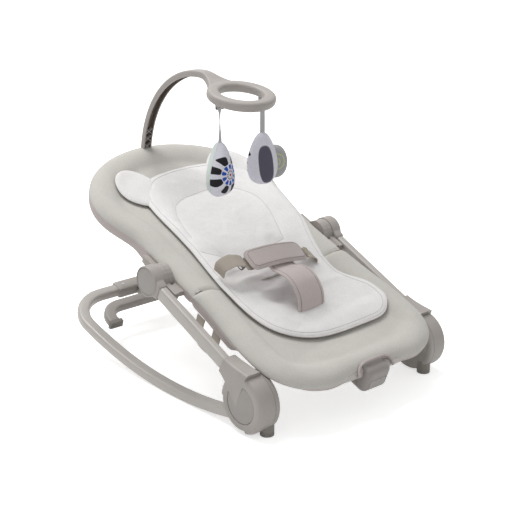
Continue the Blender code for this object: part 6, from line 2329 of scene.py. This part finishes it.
@dataclass(frozen=True)
class Printed:
    """A pale cloth with rings of small tiles and single marks, placed on one side of a pad.

    A ring is its radius, count, half length, half width, power and ink; a mark is its place across and
    up, its turn, half width, half height, power and ink.
    """

    name: str
    ground: Colour
    centre: Spot
    yaw: float
    rings: tuple = ()
    marks: tuple = ()

    def plane(self, g: Graph) -> tuple[Socket, Socket]:
        """Reads the cloth's own plane.

        Args:
            g: The material's graph.

        Returns:
            Across and up from the motif's centre.
        """
        moved = g.add("VectorMath", {0: g.object_place(), 1: self.centre}, operation="SUBTRACT")
        turned_to = {"Vector": moved.outputs[0], "Axis": (0.0, 0.0, 1.0), "Angle": -self.yaw}
        turn = g.add("VectorRotate", turned_to, rotation_type="AXIS_ANGLE")
        axes = g.add("SeparateXYZ", {"Vector": turn.outputs[0]}).outputs
        return axes[0], axes[2]

    def tile(self, g: Graph, places: Sequence[Socket], halves: Sequence[float], power: float) -> Socket:
        """Masks a rounded tile about the place where both values are zero.

        Args:
            g: The material's graph.
            places: Values across and up.
            halves: Half the tile's width and height.
            power: 2 for an ellipse, more for squarer corners.

        Returns:
            1 on the tile and 0 off it.
        """
        a, b = (g.math("POWER", g.math("ABSOLUTE", g.math("DIVIDE", place, half)), power)
                for place, half in zip(places, halves))
        return g.ramp(g.math("ADD", a, b), 1.12, 0.90)

    @cache
    def material(self) -> bpy.types.Material:
        """Makes the printed cloth's material.

        Returns:
            The node material, made once.
        """
        light, dark = tuple(min(255, c + 4) for c in self.ground), tuple(c - 10 for c in self.ground)
        made = Woven(self.name, light, dark, 1200.0, 700.0, depth=0.0002, shade=0.04, sheen=0.1).material()
        g = Graph(made.node_tree)
        shader = made.node_tree.nodes["Principled BSDF"]
        colour = shader.inputs["Base Color"].links[0].from_socket
        across, up = self.plane(g)
        radius = g.math("SQRT", g.math("ADD", g.math("MULTIPLY", across, across), g.math("MULTIPLY", up, up)))
        turn = g.math("DIVIDE", g.math("ARCTAN2", up, across), 2 * pi)
        for place, count, half_along, half_out, power, ink in self.rings:
            part = g.math("FRACT", g.math("MULTIPLY", g.math("ADD", turn, 1.0), count))
            along = g.math("MULTIPLY", g.math("SUBTRACT", part, 0.5), 2 * pi * place / count)
            mask = self.tile(g, (along, g.math("SUBTRACT", radius, place)), (half_along, half_out), power)
            colour = g.blend(mask, colour, linear(ink))
        for place_a, place_b, lean, half_a, half_b, power, ink in self.marks:
            x, y = g.math("SUBTRACT", across, place_a), g.math("SUBTRACT", up, place_b)
            a = g.math("ADD", g.math("MULTIPLY", x, cos(lean)), g.math("MULTIPLY", y, sin(lean)))
            b = g.math("SUBTRACT", g.math("MULTIPLY", y, cos(lean)), g.math("MULTIPLY", x, sin(lean)))
            colour = g.blend(self.tile(g, (a, b), (half_a, half_b), power), colour, linear(ink))
        g.put(shader, {"Base Color": colour})
        return made


INK_BLACK = (38, 37, 41)
INK_BLUE = (48, 88, 182)
INK_RED = (170, 52, 46)
INK_SLATE = (92, 90, 104)
INK_LIME = (198, 208, 148)


@dataclass
class Toy:
    """A cloth toy on a ribbon: a stuffed pillow, and a sewn-on lobe on the right one."""

    label: str
    side: int
    yaw: float
    twist: tuple
    bar_y: float = 0.287
    bar_z: float = 0.5375
    toy_x: float = 0.056
    length: float = 0.067
    hem_reach: float = 0.003       # the ribbon goes this far into the pillow
    ribbon_width: float = 0.010
    ribbon_thickness: float = 0.0011
    hem: float = 0.0018
    hem_half: float = 0.0080
    steps: int = 36

    def ribbon_piece(self) -> None:
        """The twisted ribbon and its hem round the pin."""
        top = side_place(self.bar_y, self.bar_z, self.side * self.toy_x)
        last = len(self.twist) - 1
        whole = self.length + self.hem_reach
        path = [top - Z_AXIS * whole * i / self.steps for i in range(self.steps + 1)]
        across = []
        for i in range(self.steps + 1):
            place = min(last, last * i / self.steps * whole / self.length)
            low = min(int(place), last - 1)
            angle = radians(mix(self.twist[low], self.twist[low + 1], smooth(place - low)))
            across.append(Vector((cos(angle), sin(angle), 0.0)))
        piece = ribbon("toy_ribbon_" + self.label, path, across, self.ribbon_width, self.ribbon_thickness)
        dress(piece, "toy_" + self.label, [TOY_RIBBON], Slot.WEBBING, "toy_strap_" + self.label)
        line = [top + X_AXIS * mix(-self.hem_half, self.hem_half, i / 8) for i in range(9)]
        hem = cord_line("toy_hem_" + self.label, line, self.hem)
        dress(hem, "toy_" + self.label, [TOY_RIBBON], Slot.WEBBING)

    def drop(self, half_a: float, half_b: float, pull: float) -> list[Point]:
        """Cuts a drop shape.

        Args:
            half_a: Half its width.
            half_b: Half its height.
            pull: How far its top is drawn to a point.

        Returns:
            Its outline.
        """
        outline = []
        for turn in (2 * pi * i / 56 for i in range(56)):
            narrow = 1.0 - pull * (1.0 - 0.5 * (1.0 - sin(turn))) ** 1.5
            side = 1 if cos(turn) > 0 else -1
            outline.append((abs(cos(turn)) ** 0.8 * side * narrow, half_b * sin(turn)))
        widest = max(a for a, b in outline)
        return [(a / widest * (half_a - 0.0004), b) for a, b in outline]

    def pillow(self, node: str, name: str, pull: float, finishes: Sequence, slot: Slot, voxel: float,
               fullness: float = 1.0) -> None:
        """A stuffed pillow where its CAD node is.

        Args:
            node: CAD node that gives its place and size.
            name: Name of the piece.
            pull: How far its top is drawn to a point.
            finishes: Front and rear finish.
            slot: The record's slot.
            voxel: Size of the even faces.
            fullness: Share of the node's thickness.
        """
        wide = Vector((cos(self.yaw), sin(self.yaw), 0.0))
        face = Vector((sin(self.yaw), -cos(self.yaw), 0.0))
        corners = [v.co.copy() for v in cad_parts[node].data.vertices]
        middle = Vector()
        halves = []
        for axis in (wide, Z_AXIS, face):
            values = [axis.dot(corner) for corner in corners]
            low, high = min(values), max(values)
            middle += axis * (low + high) / 2
            halves.append((high - low) / 2)
        outline = self.drop(halves[0], halves[1], pull)
        pad = StuffedPad(name, outline, 2 * halves[2] * fullness, edge=halves[0] * 0.92, voxel=voxel,
                         cap=0.0018, two_faced=True)

        def place(a: float, b: float, c: float) -> Vector:
            """The place of a point of the pattern, with slight wrinkles."""
            wrinkle = 0.0006 * noise.noise(Vector((a * 60.0, b * 60.0, c * 40.0)))
            return middle + wide * a + Z_AXIS * b + face * (c + wrinkle)

        piece = pad.build(place)
        dress(piece, "toy_" + self.label, finishes, slot, node)
        seam = [middle + wide * a + Z_AXIS * b for a, b in even_line(outline, 0.003)]
        dress(cord_line(name + "_seam", seam, 0.0007, True), "toy_" + self.label, [finishes[0]], slot)

    def motif(self, name: str, ground: Colour, node: str, at: Point, rings: tuple = (),
              marks: tuple = ()) -> Printed:
        """Places a print on a pillow.

        Args:
            name: Name of the finish.
            ground: Colour of the cloth.
            node: CAD node of the pillow.
            at: The motif's centre, across and up from the pillow's.
            rings: Rings of tiles.
            marks: Single marks.

        Returns:
            The finish.
        """
        low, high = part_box(node)
        place = (low + high) / 2 + Vector((cos(self.yaw), sin(self.yaw), 0.0)) * at[0] + Z_AXIS * at[1]
        return Printed(name, ground, tuple(place), self.yaw, rings, marks)


@dataclass
class Toys:
    """Both toys, with their own simple prints."""

    pale: Colour = (226, 225, 235)
    grey: Colour = (176, 176, 176)
    left_rings: tuple = ((0.0305, 8, 0.0072, 0.0082, 4.0, INK_BLACK),
                         (0.0165, 10, 0.0034, 0.0048, 4.0, INK_BLUE),
                         (0.0080, 12, 0.0012, 0.0018, 3.0, INK_BLACK))
    left_marks: tuple = ((0.0, 0.0, 0.0, 0.0028, 0.0028, 2.0, INK_RED),)
    right_marks: tuple = ((0.006, -0.010, 0.10, 0.0150, 0.040, 2.6, INK_SLATE),
                          (-0.030, 0.012, 0.9, 0.0036, 0.0060, 3.0, INK_BLACK),
                          (-0.035, -0.008, 0.6, 0.0040, 0.0040, 3.0, INK_RED),
                          (-0.034, -0.026, 0.2, 0.0036, 0.0036, 3.0, INK_BLACK))
    lobe_rings: tuple = ((0.0165, 1, 0.060, 0.0011, 6.0, INK_LIME), (0.0075, 1, 0.030, 0.0011, 6.0, INK_LIME))

    def build(self) -> None:
        """Makes both toys."""
        left = Toy("left", -1, radians(14), (0, 38, 48, 40, 26, 14))
        left.ribbon_piece()
        node = "toy_left_pillow"
        printed = left.motif("toy_printed_left", self.pale, node, (0.0, -0.009), self.left_rings,
                             self.left_marks)
        left.pillow(node, "toy_pillow_left", 0.78, [printed, TOY_MINT], Slot.TOY, 0.0034, 1.2)
        right = Toy("right", 1, radians(-35), (0, -24, -35, -35))
        right.ribbon_piece()
        node = "toy_right_pillow"
        printed = right.motif("toy_printed_right", self.pale, node, (0.0, 0.0), marks=self.right_marks)
        right.pillow(node, "toy_pillow_right", 0.45, [printed, TOY_PALE], Slot.TOY, 0.0034)
        node = "toy_right_lobe"
        printed = right.motif("toy_printed_lobe", self.grey, node, (0.004, 0.002), self.lobe_rings)
        right.pillow(node, "toy_lobe_right", 0.10, [printed, TOY_PALE], Slot.TOY_GREY, 0.0030)


# Surroundings

@dataclass
class Studio:
    """Pale floor, soft lamps and the camera."""

    floor_colour: Colour = (246, 246, 246)
    floor_lift: float = 0.60
    sky: float = 0.50
    lamps: tuple = (("key_lamp", (-0.25, 1.15, 3.3), 2.0, 84.0), ("fill_lamp", (-2.6, -1.6, 1.8), 1.8, 1.8))
    aim: Spot = (0.0, 0.0, 0.25)
    place: Spot = (-1.6561, -1.9032, 1.0939)
    right: Spot = (0.751, -0.660, 0.0)
    back: Spot = (-0.624, -0.710, 0.326)
    lens: float = 91.48

    def floor(self) -> None:
        """A large pale floor, lifted towards white where it is seen directly or in a reflection."""
        deselect()
        bpy.ops.mesh.primitive_plane_add(size=14.0, location=(0.0, 0.0, -0.0002))
        piece = bpy.context.object
        piece.name = "studio_floor"
        made, g, shader = new_material("studio_floor")
        g.put(shader, {"Base Color": linear(self.floor_colour), "Roughness": 0.9,
                       "Emission Color": (1.0, 1.0, 1.0, 1.0),
                       "Emission Strength": g.math("MULTIPLY", g.seen_directly(), self.floor_lift)})
        piece.data.materials.append(made)

    def world(self) -> None:
        """An even pale sky that is white where it is seen."""
        world = bpy.data.worlds.new("studio_sky")
        bpy.context.scene.world = world
        world.use_nodes = True
        g = Graph(world.node_tree)
        g.put(world.node_tree.nodes["Background"], {"Color": (1.0, 1.0, 1.0, 1.0),
                                                    "Strength": g.span(g.seen_directly(), self.sky, 1.0)})

    def lamp(self, name: str, place: Spot, size: float, power: float) -> None:
        """A soft square lamp that faces the rocker.

        Args:
            name: Name of the lamp.
            place: Where it hangs.
            size: Its side.
            power: Its power in watts.
        """
        light = bpy.data.lights.new(name, "AREA")
        light.shape = "SQUARE"
        light.size = size
        light.energy = power
        lamp = linked(name, light)
        lamp.location = place
        lamp.rotation_euler = (Vector(self.aim) - Vector(place)).to_track_quat("-Z", "Y").to_euler()

    def camera(self) -> None:
        """The camera at the photograph's angle."""
        data = bpy.data.cameras.new("studio_camera")
        data.lens = self.lens
        data.sensor_width = 36.0
        data.clip_start = 0.05
        data.clip_end = 60.0
        camera = linked("studio_camera", data)
        right = Vector(self.right).normalized()
        back = Vector(self.back)
        back = (back - right * back.dot(right)).normalized()
        turn = Matrix((right, back.cross(right), back)).transposed().to_4x4()
        camera.matrix_world = Matrix.Translation(Vector(self.place)) @ turn
        bpy.context.scene.camera = camera

    def build(self) -> None:
        """Sets the floor, the sky, the lamps and the camera."""
        self.floor()
        self.world()
        for sizes in self.lamps:
            self.lamp(*sizes)
        self.camera()
        bpy.context.scene.view_settings.view_transform = "Standard"


def main() -> None:
    """Builds every piece in order."""
    logging.basicConfig(level=logging.INFO, format="%(name)s %(message)s")
    seat = PaddedCover("seat_padded_cover", SEAT_LOOP, start=0.084).build()
    back = PaddedCover("back_padded_cover", BACK_LOOP, start=-0.088).build()
    insert = Insert(Ground([seat, back]))
    dress(seat, LOWER_BODY, [], Slot.GREY, "seat_cover")
    insert.build()
    dress(back, "", [], Slot.GREY, "back_cover")
    across_joint(back, 0.050)
    base = Base()
    stand = Kickstand(base.tail_frame())
    for part in (Harness(), base, stand, Legs(), FrontUnit(), ToyBar(), Toys(), Studio()):
        part.build()


if __name__ == "__main__":
    main()
